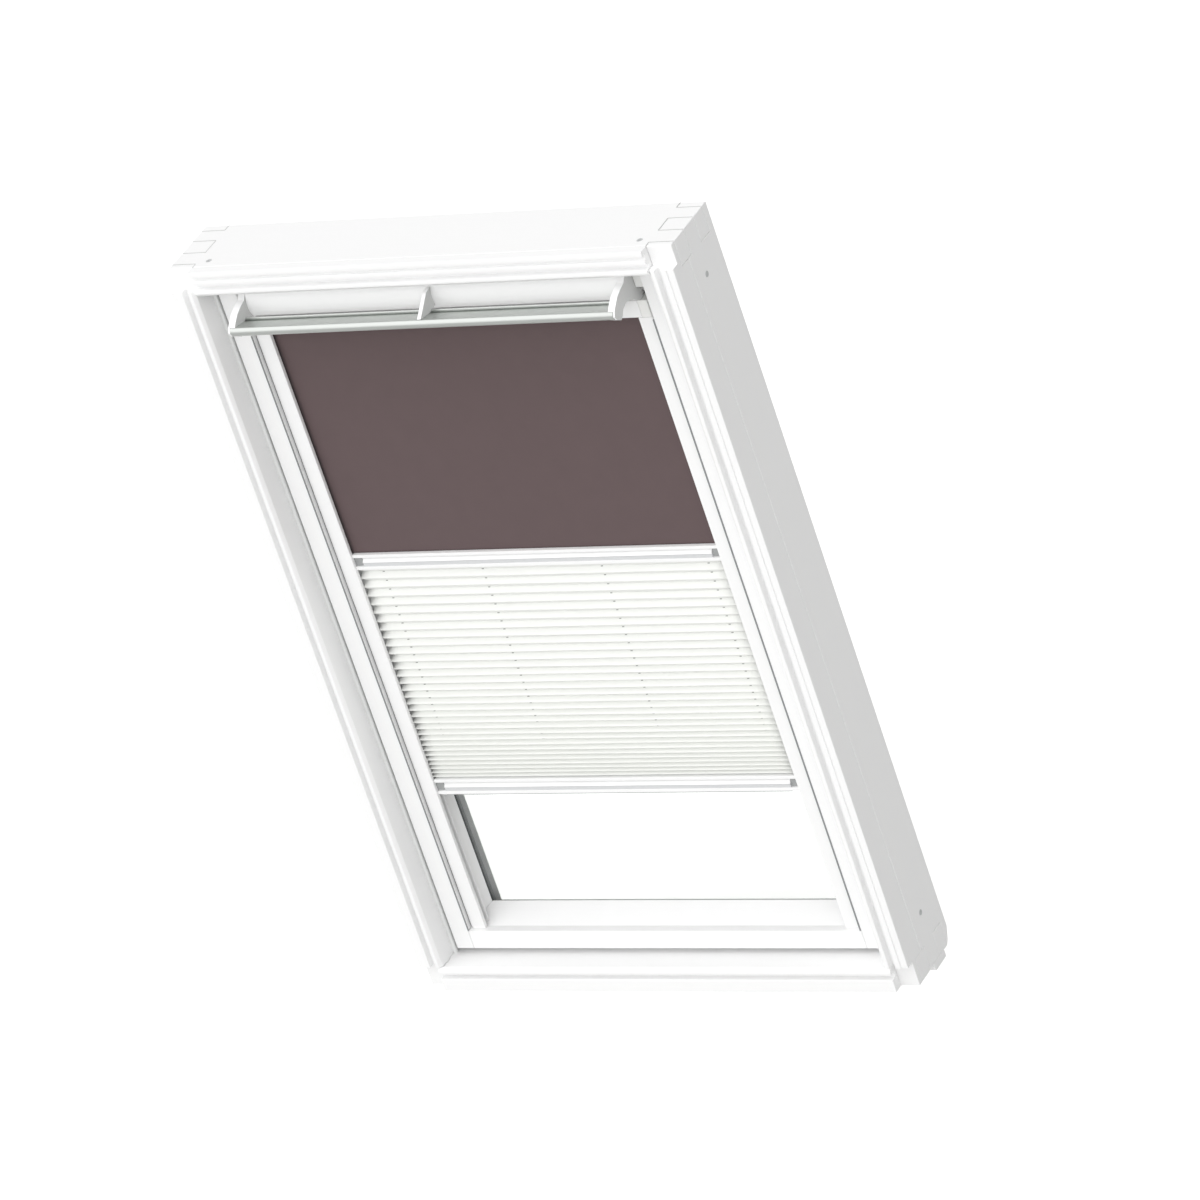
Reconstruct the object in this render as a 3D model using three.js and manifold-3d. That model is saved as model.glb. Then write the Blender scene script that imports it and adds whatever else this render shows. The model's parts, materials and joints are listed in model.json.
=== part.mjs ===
// Centre-pivot roof window with a two-cloth blind: a roller-fed dark cloth above, a pleated cloth below.
// Millimetres. X runs across the window, Y from the room to the weather side, Z up the slope.
// Depths are measured from the front plane of the frame, heights from the underside of the sill.
import * as THREE from "three";
import { mergeVertices } from "three/addons/utils/BufferGeometryUtils.js";
import Module from "manifold-3d";

const wasm = await Module();
wasm.setup();

// Clearances
const fit = 0.3; // between pieces that lie against each other
const overrun = 5; // how far a cutting body passes the faces that it cuts
const turnFacets = 24;
const barFacets = 8; // along each curve of the control bar
const originDepth = 30; // the origin lies on the sill's underside, this far behind the front plane

// Outer frame
const frameWidth = 780;
const frameHeight = 1178;
const memberFace = 37.8; // width of jamb, head and sill seen from the room
const frontLayer = 16; // moulded front layer, which stops short of the corners
const headLayerInset = 38;
const sillLayerInset = 29;
const jambLayerTopInset = 29;
const jambLayerBottomInset = 38.5;
const memberChamfer = 4.5; // on the edge towards the sash
// Front moulding from the outer edge: each band's width, then its recess
const jambBands = [[10.5, 2], [8.5, 0.3], [9, 11], [5.3, 0]];
const headBands = [[8, 0], [6, 6], [1, 3], [6, 2], [7, 10], [5.3, 0]];
const sillBands = [[20, 0], [8, 10], [5.3, 0]];
const combFingerShares = [0.09, 0.36, 0.64, 0.883]; // where jamb and head fingers change over
const trimGroove = { jambPlace: 45.8, headPlace: 17, width: 1.4, deep: 1 };
const sillBackCut = { depth: 9, toe: 14, rise: 22 };
const dripRail = { front: 65, back: 102, seat: 2, drop: 11, edge: 3 };

// Sash
const sashGap = 10.8; // between frame and sash, on the sides
const sashEndGap = 9.8; // at head and sill
const sashFront = 36;
const weatherRim = 15; // how far the frame stands out behind the sash
const stileFace = 27.4;
const railFace = 29.7;
const ledgeDepth = 13; // square ledge round the opening, before the bevel starts
const stileBevel = 23.4;
const railBevel = 19.7;
const paneThickness = 4;
const paneSpacing = 16;
const glassSetback = 6; // behind the blind's headbox
const glassBite = 14.8; // how far the panes reach in behind the bevel
const bottomGlassBite = 23.6; // deeper at the foot, where the glass sheds its water over the rail
const spacerWidth = 8;
const gasketThickness = 4;
const claddingWidth = 53;
const bottomCladdingWidth = 24.5;
const claddingDepth = 10;
const claddingInset = 2;

// Pivot at half height
const pivotPlate = { width: 48, height: 90, thickness: 4, sashThickness: 3.5 };
const pinRadius = 6;

// Seals between frame and sash
const sideSeal = { setback: 2, width: 6, reach: 5.9 }; // behind the sash's front
const endSealWidth = 8;
const endSealReach = 5;

// Ventilation flap, a drum segment that turns in the sash top
const flapAxisSetback = 14; // behind the sash's front
const flapAxisDrop = 64.5; // below the top of the frame
const flapRadius = 32;
const flapWall = 3;
const flapTopAngle = 130;
const flapBottomAngle = 217;
const troughGap = 1;
const troughOverlap = 0.1; // how far the headbox reaches up beside the lowest point of the flap's circle
const cheekRadius = 31;
const cheekTopAngle = 127;
const cheekBottomAngle = 273;
const bracketInset = 90.1; // from the outer side of the frame to the outer face of an end bracket
const bracketThickness = 10.4;
const bracketCap = 2.5;
const finThickness = 6;
const stubRadius = 4;
const bearing = { depth: 20, height: 21 };

// Control bar, a dished section in front of the flap, in depth and height from the flap's axis
const barNose = { depth: -80.5, height: -14.5 }; // draws out the round between brow and foot
const barBrow = { depth: -74.5, height: -8.4 };
const barFoot = { depth: -75, height: -20.7 };
const barRear = { depth: -41.5, height: -13.5 };
const barRearEdge = 1.5;
const barDish = { depth: -57, height: -14.5 };
const barKeel = { depth: -60, height: -24 };
const barPocketShare = 1.05;
const bracketNose = [
  [-33.2, 10.4], [-46, 7.7], [-57.9, 3.5],
  [-68.2, -3.3], [-74.4, -8.3], [-78.1, -14.8],
];
const bracketChin = [
  [-75, -20.7], [-65.1, -27.2], [-58.7, -23.2],
  [-52.6, -17.3], [-41.1, -13.8], [-24.1, -20.6],
];
const finTop = [-41.8, 14.3];
const finTopAngle = 150; // where the middle fin meets the flap
const finBottomAngle = 200;

// Lock
const lockCase = { width: 70, depth: 18, backInset: 4, height: 30 };
const boltRadius = 5;
const boltLength = 22;
const boltReach = 8; // how far it stands above the sash
const striker = { width: 70, depth: 26, thickness: 3 };

// Screws and pins that show on the frame
const screwRadius = 4;
const screwDepth = 3;
const headScrew = { inset: 55.5, depth: 33.5 };
const jambScrew = { depth: 75.3, topInset: 80, bottomInset: 80.6 };

// Blind
const channelInset = 82; // from the outer side of the frame
const channelWidth = 20.5;
const channelSetback = 6; // behind the sash's front
const channelDepth = 15;
const channelWall = 1.5;
const channelLip = 6;
const channelFlangeSetback = 4; // behind the channel's front
const headboxHeight = 25.8;
const headboxDepth = 36;
const headboxInset = 96.8;
const headboxLip = 5;
const capDepth = 15.5;
const capArm = { width: 2.7, depth: 30 };
const axlePin = { radius: 3, length: 10 };
const rollerSetback = 21.8; // behind the headbox's front
const rollRadius = 11;
const rollerTubeRadius = 8;
const rollerTubeWall = 1;
const clothThickness = 0.8;
const clothEdgeInset = 97;
const upperBarPlaceShare = 0.6094; // where the bars stand in the photographed position, up the channels
const lowerBarPlaceShare = 0.23;
const barHeight = 24.2;
const barSetback = 3; // behind the channels' front
const barDepth = 8.7;
const barRecess = { deep: 5, bottomFlange: 5, topFlange: 4.8 };
const glideTongue = { length: 12, thickness: 1.4 };
const pleatPitch = 11.2; // mean height of a pleat in the photographed position
const pleatSlant = 10; // cloth between one fold and the next
const pleatSpreadShare = 0.41; // how much wider the top pleats stand than the mean
const pleatClothThickness = 0.8;

// Values that follow from the sizes above
const halfWidth = frameWidth / 2;
const insideHalfWidth = halfWidth - memberFace;
const sashHalfWidth = insideHalfWidth - sashGap;
const sashBottom = memberFace + sashEndGap;
const sashTop = frameHeight - memberFace - sashEndGap;
const pivotHeight = (sashBottom + sashTop) / 2;
const ledgeBack = sashFront + ledgeDepth;
const channelFront = sashFront + channelSetback;
const glassFront = channelFront + headboxDepth + glassSetback;
const paneHalfWidth = sashHalfWidth - stileFace - stileBevel + glassBite;
const paneBottom = sashBottom + railFace + railBevel - bottomGlassBite;
const paneTop = sashTop - railFace - railBevel + glassBite;
const glassMid = glassFront + paneThickness;
const glassBack = glassMid + paneSpacing + paneThickness;
const sashBack = glassBack + gasketThickness;
const frameDepth = sashBack + weatherRim;
const pivotDepth = (sashFront + sashBack) / 2;
const flapAxisDepth = sashFront + flapAxisSetback;
const flapAxisHeight = frameHeight - flapAxisDrop;
const bracketOuter = halfWidth - bracketInset;
const channelOuter = halfWidth - channelInset;
const channelInner = channelOuter - channelWidth;
const channelBottom = sashBottom + railFace + fit;
const channelBack = channelFront + channelDepth;
const headboxTop = flapAxisHeight - flapRadius + troughOverlap;
const headboxBottom = headboxTop - headboxHeight;
const channelTop = headboxBottom - fit;
const barSpan = channelTop - channelBottom;
const upperBarBottom = channelBottom + upperBarPlaceShare * barSpan;
const lowerBarBottom = channelBottom + lowerBarPlaceShare * barSpan;
const barFront = channelFront + barSetback;
const headboxHalf = halfWidth - headboxInset;
const rollerDepth = channelFront + rollerSetback;
const rollerHeight = headboxBottom + headboxHeight / 2;
const pleatTop = upperBarBottom - fit;
const pleatBottom = lowerBarBottom + barHeight + fit;
const pleatCount = Math.round((pleatTop - pleatBottom) / pleatPitch);

// Finishes
const paint = new THREE.MeshStandardMaterial({ color: 0xf6f6f3, roughness: 0.4 });
const whiteMetal = new THREE.MeshStandardMaterial({ color: 0xf3f4f2, roughness: 0.35 });
const anodised = new THREE.MeshStandardMaterial({ color: 0xc9cbc6, roughness: 0.35, metalness: 0.9 });
const darkMetal = new THREE.MeshStandardMaterial({ color: 0x5d6063, roughness: 0.5, metalness: 0.7 });
const steel = new THREE.MeshStandardMaterial({ color: 0xb9bcbf, roughness: 0.4, metalness: 1 });
const seal = new THREE.MeshStandardMaterial({ color: 0x9a9c9c, roughness: 0.8 });
const blackSeal = new THREE.MeshStandardMaterial({ color: 0x1f2021, roughness: 0.8 });
const glass = new THREE.MeshStandardMaterial({ color: 0xe6efec, roughness: 0.05 });
glass.transparent = true;
glass.opacity = 0.3;
const whitePlastic = new THREE.MeshStandardMaterial({ color: 0xf1f1ef, roughness: 0.45 });
const greyPlastic = new THREE.MeshStandardMaterial({ color: 0x6d6f70, roughness: 0.5 });
const darkCloth = new THREE.MeshStandardMaterial({ color: 0x685b59, roughness: 0.95 });
const paleCloth = new THREE.MeshStandardMaterial({ color: 0xf2f3ee, roughness: 0.95 });

// Solids from shapes
function toSolid(geometry) {
  const bare = geometry.index ? geometry.toNonIndexed() : geometry.clone();
  bare.deleteAttribute("normal");
  bare.deleteAttribute("uv");
  const merged = mergeVertices(bare, 1e-4);
  const vertProperties = merged.attributes.position.array;
  const triVerts = new Uint32Array(merged.index.array);
  return new wasm.Manifold(new wasm.Mesh({ numProp: 3, vertProperties, triVerts }));
}

function toGeometry(solid) {
  const mesh = solid.getMesh();
  const geometry = new THREE.BufferGeometry();
  geometry.setAttribute("position", new THREE.BufferAttribute(mesh.vertProperties, 3));
  geometry.setIndex(new THREE.BufferAttribute(mesh.triVerts, 1));
  const faceted = geometry.toNonIndexed();
  faceted.computeVertexNormals();
  return faceted;
}

function shapeOf(points) {
  return new THREE.Shape(points.map(([a, b]) => new THREE.Vector2(a, b)));
}

function slab(x0, x1, y0, y1, z0, z1) {
  const box = new THREE.BoxGeometry(Math.abs(x1 - x0), y1 - y0, z1 - z0);
  box.translate((x0 + x1) / 2, (y0 + y1) / 2, (z0 + z1) / 2);
  return toSolid(box);
}

// An outline of [depth, height] points, drawn out across the window
function alongX(points, x0, x1) {
  const geometry = new THREE.ExtrudeGeometry(shapeOf(points), { depth: x1 - x0, bevelEnabled: false });
  geometry.applyMatrix4(new THREE.Matrix4().set(0, 0, 1, x0, 1, 0, 0, 0, 0, 1, 0, 0, 0, 0, 0, 1));
  return toSolid(geometry);
}

// An outline of [across, depth] points, drawn out up the window
function alongZ(points, z0, z1) {
  const geometry = new THREE.ExtrudeGeometry(shapeOf(points), { depth: z1 - z0, bevelEnabled: false });
  geometry.translate(0, 0, z0);
  return toSolid(geometry);
}

function rod(radius, x0, x1, y, z) {
  const geometry = new THREE.CylinderGeometry(radius, radius, Math.abs(x1 - x0), turnFacets);
  geometry.rotateZ(Math.PI / 2);
  geometry.translate((x0 + x1) / 2, y, z);
  return toSolid(geometry);
}

function post(radius, x, y, z0, z1) {
  const geometry = new THREE.CylinderGeometry(radius, radius, z1 - z0, turnFacets);
  geometry.rotateX(Math.PI / 2);
  geometry.translate(x, y, (z0 + z1) / 2);
  return toSolid(geometry);
}

function cut(body, ...tools) {
  return tools.reduce((rest, tool) => rest.subtract(tool), body);
}

function join(body, ...others) {
  return others.reduce((whole, other) => whole.add(other), body);
}

// A four-sided ring about the glass, from one inset to another
function ring(halfOuter, bottom, top, width, y0, y1) {
  const outer = slab(-halfOuter, halfOuter, y0, y1, bottom, top);
  const halfInner = halfOuter - width;
  const hole = slab(-halfInner, halfInner, y0 - overrun, y1 + overrun, bottom + width, top - width);
  return cut(outer, hole);
}

function arcPoints(radius, fromDegrees, toDegrees, steps) {
  const points = [];
  for (let i = 0; i <= steps; i += 1) {
    const angle = THREE.MathUtils.degToRad(fromDegrees + ((toDegrees - fromDegrees) * i) / steps);
    points.push([radius * Math.cos(angle), radius * Math.sin(angle)]);
  }
  return points;
}

function curvePoints(from, control, to, steps) {
  const ends = [from, control, to].map(([a, b]) => new THREE.Vector2(a, b));
  const curve = new THREE.QuadraticBezierCurve(...ends);
  return curve.getPoints(steps).map((p) => [p.x, p.y]);
}

// The parts tree
const roofWindow = new THREE.Group();
const frame = new THREE.Group();
const sash = new THREE.Group();
const flap = new THREE.Group();
const blind = new THREE.Group();
roofWindow.add(frame, sash);
roofWindow.position.y = -originDepth;
sash.add(flap, blind);
flap.position.set(0, flapAxisDepth, flapAxisHeight);

function piece(parent, name, solid, material) {
  const mesh = new THREE.Mesh(toGeometry(solid), material);
  mesh.name = name;
  parent.add(mesh);
  return mesh;
}

const sides = [["left", -1], ["right", 1]];
const pastBack = frameDepth + overrun;

// Front moulding of a frame member: [place, depth] points from the outer edge to the sash edge
function moulding(bands) {
  const points = [];
  let place = 0;
  for (const [width, recess] of bands) {
    points.push([place, recess], [place + width, recess]);
    place += width;
  }
  points.push([place + memberChamfer, memberChamfer]);
  return points;
}

// The same with the back and, where the member has one, the fine groove in its outer face
function memberOutline(bands, groovePlace) {
  const face = bands.reduce((sum, [width]) => sum + width, memberChamfer);
  const back = [[face, frameDepth], [0, frameDepth]];
  if (groovePlace === undefined) return [...back, ...moulding(bands)];
  const half = trimGroove.width / 2;
  const groove = [
    [0, groovePlace + half],
    [trimGroove.deep, groovePlace + half],
    [trimGroove.deep, groovePlace - half],
    [0, groovePlace - half],
  ];
  return [...back, ...groove, ...moulding(bands)];
}

// Fingers of the corner joint: the jamb holds the first, third and fifth layer, head and sill the others
const combDepth = frameDepth - frontLayer;
const combFingers = combFingerShares.map((share) => frontLayer + share * combDepth);
const combLayers = [frontLayer, ...combFingers, frameDepth];

function combCut(side, z0, z1, ofJamb) {
  const inner = side * (insideHalfWidth - fit);
  const outer = side * (halfWidth + overrun);
  const cuts = [];
  for (let i = 0; i + 1 < combLayers.length; i += 1) {
    const jambOwns = i % 2 === 0;
    if (jambOwns === ofJamb) continue;
    const y0 = combLayers[i] - fit / 2;
    const y1 = i + 2 === combLayers.length ? pastBack : combLayers[i + 1] + fit / 2;
    cuts.push(slab(inner, outer, y0, y1, z0, z1));
  }
  return join(...cuts);
}

// What the foot of the frame loses: the cut at its back, and the rebate that holds the drip rail
function footCut() {
  const start = frameDepth - sillBackCut.toe;
  const points = [
    [start, 0],
    [frameDepth - sillBackCut.depth, sillBackCut.depth / 2],
    [frameDepth, sillBackCut.rise],
    [pastBack, sillBackCut.rise],
    [pastBack, -overrun],
    [start, -overrun],
  ];
  const past = halfWidth + overrun;
  const { front, back, seat } = dripRail;
  return join(alongX(points, -past, past), slab(-past, past, front - fit, back + fit, -overrun, seat));
}

// Jambs, with their screws
for (const [name, side] of sides) {
  const outline = memberOutline(jambBands, trimGroove.jambPlace);
  const blank = alongZ(outline.map(([u, y]) => [side * (halfWidth - u), y]), 0, frameHeight);
  const inner = side * (insideHalfWidth - overrun);
  const outer = side * (halfWidth + overrun);
  const layerTop = frameHeight - jambLayerTopInset;
  const topStep = slab(inner, outer, -overrun, frontLayer, layerTop, frameHeight + overrun);
  const bottomStep = slab(inner, outer, -overrun, frontLayer, -overrun, jambLayerBottomInset);
  const topComb = combCut(side, frameHeight - memberFace - fit, frameHeight + overrun, true);
  const bottomComb = combCut(side, -overrun, memberFace + fit, true);
  let jamb = cut(blank, topStep, bottomStep, topComb, bottomComb, footCut());
  const places = [["lower", jambScrew.bottomInset], ["upper", frameHeight - jambScrew.topInset]];
  for (const [level, height] of places) {
    const face = side * halfWidth;
    const bottom = side * (halfWidth - screwDepth);
    const seat = side * (halfWidth - screwDepth - fit);
    jamb = cut(jamb, rod(screwRadius + fit, seat, outer, jambScrew.depth, height));
    const screw = rod(screwRadius, bottom, face, jambScrew.depth, height);
    piece(frame, `${name}_${level}_jamb_screw`, screw, steel);
  }
  piece(frame, `${name}_jamb`, jamb, paint);
}

// Head, with its two screws
function memberBlank(bands, groovePlace, toHeight) {
  const outline = memberOutline(bands, groovePlace).map(([u, y]) => [y, toHeight(u)]);
  return alongX(outline, -halfWidth, halfWidth);
}

const headBottom = frameHeight - memberFace;
let head = memberBlank(headBands, trimGroove.headPlace, (u) => frameHeight - u);
for (const [name, side] of sides) {
  const layerEnd = side * (halfWidth - headLayerInset);
  const outer = side * (halfWidth + overrun);
  const front = slab(layerEnd, outer, -overrun, frontLayer, headBottom - overrun, frameHeight + overrun);
  head = cut(head, front, combCut(side, headBottom - overrun, frameHeight + overrun, false));
  const x = side * (halfWidth - headScrew.inset);
  const screwBottom = frameHeight - screwDepth;
  const screwHole = post(screwRadius + fit, x, headScrew.depth, screwBottom - fit, frameHeight + overrun);
  head = cut(head, screwHole);
  const screw = post(screwRadius, x, headScrew.depth, screwBottom, frameHeight);
  piece(frame, `${name}_head_screw`, screw, steel);
}
piece(frame, "head", head, paint);

// Sill, and the drip rail let in under it
let sill = memberBlank(sillBands, undefined, (u) => u);
for (const [, side] of sides) {
  const outer = side * (halfWidth + overrun);
  const lipEnd = side * (halfWidth - sillLayerInset);
  const stepInner = side * (insideHalfWidth - fit);
  const lip = slab(lipEnd, outer, -overrun, frontLayer, -overrun, memberFace + overrun);
  const jambFoot = jambLayerBottomInset - fit;
  const underJamb = slab(stepInner, outer, -overrun, frontLayer, jambFoot, memberFace + overrun);
  sill = cut(sill, lip, underJamb, combCut(side, -overrun, memberFace + overrun, false));
}
piece(frame, "sill", cut(sill, footCut()), paint);

const dripOutline = [
  [dripRail.front, dripRail.seat - fit],
  [dripRail.back, dripRail.seat - fit],
  [dripRail.back, -dripRail.drop],
  [dripRail.front + dripRail.edge, -dripRail.drop],
  [dripRail.front, -dripRail.drop + dripRail.edge],
];
piece(frame, "drip_rail", alongX(dripOutline, -halfWidth, halfWidth), paint);

// Seals in the gap round the sash
for (const [name, side] of sides) {
  const seat = side * (insideHalfWidth - fit);
  const lip = side * (insideHalfWidth - fit - sideSeal.reach);
  const front = sashFront + sideSeal.setback;
  const strip = slab(seat, lip, front, front + sideSeal.width, memberFace + fit, headBottom - fit);
  piece(frame, `${name}_seal`, strip, seal);
}
const endSealFront = sashBack + claddingInset;
const endSealBack = endSealFront + endSealWidth;
const endSeal = (z0, z1) => slab(-sashHalfWidth, sashHalfWidth, endSealFront, endSealBack, z0, z1);
piece(frame, "head_seal", endSeal(headBottom - fit - endSealReach, headBottom - fit), seal);
piece(frame, "sill_seal", endSeal(memberFace + fit, memberFace + fit + endSealReach), seal);

// Pivot hinges: a plate on the jamb, a plate on the stile, and the pin in both
for (const [name, side] of sides) {
  const z0 = pivotHeight - pivotPlate.height / 2;
  const z1 = pivotHeight + pivotPlate.height / 2;
  const y0 = pivotDepth - pivotPlate.width / 2;
  const y1 = pivotDepth + pivotPlate.width / 2;
  const frameFace = side * (insideHalfWidth - fit);
  const frameInner = side * (insideHalfWidth - fit - pivotPlate.thickness);
  const sashFace = side * (sashHalfWidth + fit);
  const sashOuter = side * (sashHalfWidth + fit + pivotPlate.sashThickness);
  const boreEnd = side * (sashHalfWidth - overrun);
  const bore = rod(pinRadius + fit, boreEnd, side * insideHalfWidth, pivotDepth, pivotHeight);
  piece(frame, `${name}_frame_pivot`, cut(slab(frameFace, frameInner, y0, y1, z0, z1), bore), steel);
  piece(sash, `${name}_sash_pivot`, cut(slab(sashFace, sashOuter, y0, y1, z0, z1), bore), steel);
  piece(sash, `${name}_pivot_pin`, rod(pinRadius, sashFace, frameFace, pivotDepth, pivotHeight), steel);
}

// Striker plate in the head, for the lock's bolt
const strikerTop = headBottom - fit;
const lockBack = sashBack - lockCase.backInset;
const lockFront = lockBack - lockCase.depth;
const boltDepth = (lockFront + lockBack) / 2;
const strikerBlank = slab(
  -striker.width / 2, striker.width / 2, boltDepth - striker.depth / 2, boltDepth + striker.depth / 2,
  strikerTop - striker.thickness, strikerTop,
);
const strikerHole = post(boltRadius + 2 * fit, 0, boltDepth, strikerTop - overrun, strikerTop + overrun);
piece(frame, "striker_plate", cut(strikerBlank, strikerHole), steel);

// Sash section: [place, depth] points, place measured from the sash's outer edge
function sashOutline(face, bevel, bite, grow) {
  return [
    [0, sashFront - grow],
    [face + grow, sashFront - grow],
    [face + grow, ledgeBack],
    [face + bevel + grow, glassFront - fit],
    [face + bevel + grow, glassFront - fit + grow],
    [face + bevel - bite + grow - fit, glassFront - fit + grow],
    [face + bevel - bite + grow - fit, sashBack + grow],
    [0, sashBack + grow],
  ];
}

function stile(side, grow) {
  const outline = sashOutline(stileFace, stileBevel, glassBite, grow);
  const placed = outline.map(([u, y]) => [side * (sashHalfWidth - u), y]);
  return alongZ(placed, sashBottom - grow, sashTop + grow);
}

const stileCutters = sides.map(([, side]) => stile(side, fit));
for (const [name, side] of sides) piece(sash, `${name}_stile`, stile(side, 0), paint);

const railHalf = sashHalfWidth - stileFace - fit;
function bottomRailBlank(grow) {
  const outline = sashOutline(railFace, railBevel, bottomGlassBite, grow);
  const placed = outline.map(([u, y]) => [y, sashBottom + u]);
  return alongX(placed, -railHalf - grow, railHalf + grow);
}
const bottomRail = cut(bottomRailBlank(0), ...stileCutters);
piece(sash, "bottom_rail", bottomRail, paint);

// Top rail: its front is a trough in which the flap turns, over the blind's headbox
const topRailFront = flapAxisDepth + headboxDepth / 2 - fit;
const topRailBottom = headboxTop + fit;
const topRailBlank = slab(-railHalf, railHalf, topRailFront, sashBack, topRailBottom, sashTop);
const trough = rod(flapRadius + troughGap, -halfWidth, halfWidth, flapAxisDepth, flapAxisHeight);
const rebate = slab(-halfWidth, halfWidth, glassFront - fit, pastBack, topRailBottom - overrun, paneTop + fit);
const lockPocket = slab(
  -lockCase.width / 2 - fit, lockCase.width / 2 + fit,
  lockFront - fit, lockBack + fit, sashTop - lockCase.height - fit, sashTop + overrun,
);
piece(sash, "top_rail", cut(topRailBlank, trough, rebate, ...stileCutters, lockPocket), paint);

// Lock case in the top rail, with the bolt that the flap draws
const lockBlank = slab(
  -lockCase.width / 2, lockCase.width / 2, lockFront, lockBack, sashTop - lockCase.height, sashTop,
);
const boltBottom = sashTop + boltReach - boltLength;
const boltBore = post(boltRadius + fit, 0, boltDepth, boltBottom - boltReach - fit, sashTop + overrun);
piece(sash, "lock_case", cut(lockBlank, boltBore), steel);
piece(sash, "latch_bolt", post(boltRadius, 0, boltDepth, boltBottom, sashTop + boltReach), steel);

// Double glazing with its spacer, the gasket behind it and the outside cladding
const paneSlab = (y0) => slab(-paneHalfWidth, paneHalfWidth, y0, y0 + paneThickness, paneBottom, paneTop);
piece(sash, "inner_pane", paneSlab(glassFront), glass);
piece(sash, "outer_pane", paneSlab(glassBack - paneThickness), glass);
const spacerBack = glassBack - paneThickness - fit;
const spacer = ring(paneHalfWidth, paneBottom, paneTop, spacerWidth, glassMid + fit, spacerBack);
piece(sash, "glass_spacer", spacer, steel);
const gasket = ring(paneHalfWidth, paneBottom, paneTop, spacerWidth, glassBack + fit, sashBack);
piece(sash, "glass_gasket", gasket, blackSeal);

const claddingFront = sashBack + fit;
const claddingBack = claddingFront + claddingDepth;
const claddingHalf = sashHalfWidth - claddingInset;
for (const [name, side] of sides) {
  const inner = side * (claddingHalf - claddingWidth);
  const outer = side * claddingHalf;
  const z0 = sashBottom + claddingInset;
  const z1 = sashTop - claddingInset;
  piece(sash, `${name}_cladding`, slab(inner, outer, claddingFront, claddingBack, z0, z1), darkMetal);
}
const crossHalf = claddingHalf - claddingWidth - fit;
const bottomCladding = sashBottom + claddingInset;
const topCladding = sashTop - claddingInset;
const cladding = (z0, z1) => slab(-crossHalf, crossHalf, claddingFront, claddingBack, z0, z1);
piece(sash, "bottom_cladding", cladding(bottomCladding, bottomCladding + bottomCladdingWidth), darkMetal);
piece(sash, "top_cladding", cladding(topCladding - claddingWidth, topCladding), darkMetal);

// Ventilation flap, in depth and height from its axis
const flapOutline = [
  ...arcPoints(flapRadius, flapTopAngle, flapBottomAngle, turnFacets / 2),
  ...arcPoints(flapRadius - flapWall, flapBottomAngle, flapTopAngle, turnFacets / 2),
];
const flapHalf = bracketOuter - bracketThickness - fit;
piece(flap, "vent_flap", alongX(flapOutline, -flapHalf, flapHalf), paint);

// Control bar: nose, dished top and keel
const brow = [barBrow.depth, barBrow.height];
const dish = [barDish.depth, barDish.height];
const rearEdge = [barRear.depth, barRear.height];
const rearUnderside = [barRear.depth, barRear.height - barRearEdge];
const keel = [barKeel.depth, barKeel.height];
const foot = [barFoot.depth, barFoot.height];
const nose = [barNose.depth, barNose.height];
const barTop = curvePoints(brow, dish, rearEdge, barFacets);
const barUnderside = curvePoints(rearUnderside, keel, foot, barFacets);
const barNoseRound = curvePoints(foot, nose, brow, barFacets).slice(1, -1);
const barOutline = [...barTop, ...barUnderside, ...barNoseRound];
const controlBarHalf = bracketOuter - bracketCap - fit;
piece(flap, "control_bar", alongX(barOutline, -controlBarHalf, controlBarHalf), anodised);

// End brackets: a fin over the bar's end and a round cheek with a stub in the sash's bearing
const barMiddle = [(barFoot.depth + barRear.depth) / 2, (barBrow.height + barFoot.height) / 2];
const barPocketOutline = barOutline.map((point) =>
  point.map((value, i) => barMiddle[i] + (value - barMiddle[i]) * barPocketShare),
);
const ledgeHalf = sashHalfWidth - stileFace;
const stubBevelReach = (stileBevel * (flapAxisDepth + stubRadius - ledgeBack)) / (glassFront - ledgeBack);
for (const [name, side] of sides) {
  const span = [side * bracketOuter, side * (bracketOuter - bracketThickness)].sort((a, b) => a - b);
  const cheekEdge = arcPoints(cheekRadius, cheekTopAngle, cheekBottomAngle, turnFacets);
  const cheek = alongX([[0, 0], ...cheekEdge], ...span);
  const fin = alongX([cheekEdge[0], ...bracketNose, ...bracketChin, [0, 0]], ...span);
  const stubEnd = side * (ledgeHalf - stubBevelReach - 2 * fit);
  const stub = rod(stubRadius, side * (bracketOuter - bracketThickness / 2), stubEnd, 0, 0);
  const pocketEnd = [side * controlBarHalf + side * fit, 0].sort((a, b) => a - b);
  const bracket = cut(join(cheek, fin, stub), alongX(barPocketOutline, ...pocketEnd));
  piece(flap, `${name}_flap_bracket`, bracket, anodised);
}

// Middle fin between bar and flap
const finSeat = barTop.map(([y, z]) => [y, z + 2 * fit]);
const finBack = arcPoints(flapRadius + fit, finTopAngle, finBottomAngle, barFacets);
const finOutline = [finTop, ...finBack, ...finSeat.reverse()];
piece(flap, "middle_flap_bracket", alongX(finOutline, -finThickness / 2, finThickness / 2), anodised);

// Bearings for the flap's stubs, on the stiles
for (const [i, [name, side]] of sides.entries()) {
  const outer = side * (sashHalfWidth - stileFace - fit);
  const inner = side * (bracketOuter + 2 * fit);
  const y0 = flapAxisDepth - bearing.depth / 2;
  const z0 = flapAxisHeight - bearing.height / 2;
  const block = slab(outer, inner, y0, y0 + bearing.depth, z0, z0 + bearing.height);
  const boreEnd = side * (bracketOuter - overrun);
  const bore = rod(stubRadius + fit, boreEnd, side * sashHalfWidth, flapAxisDepth, flapAxisHeight);
  piece(sash, `${name}_flap_bearing`, cut(block, bore, stileCutters[i]), whitePlastic);
}

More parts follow.
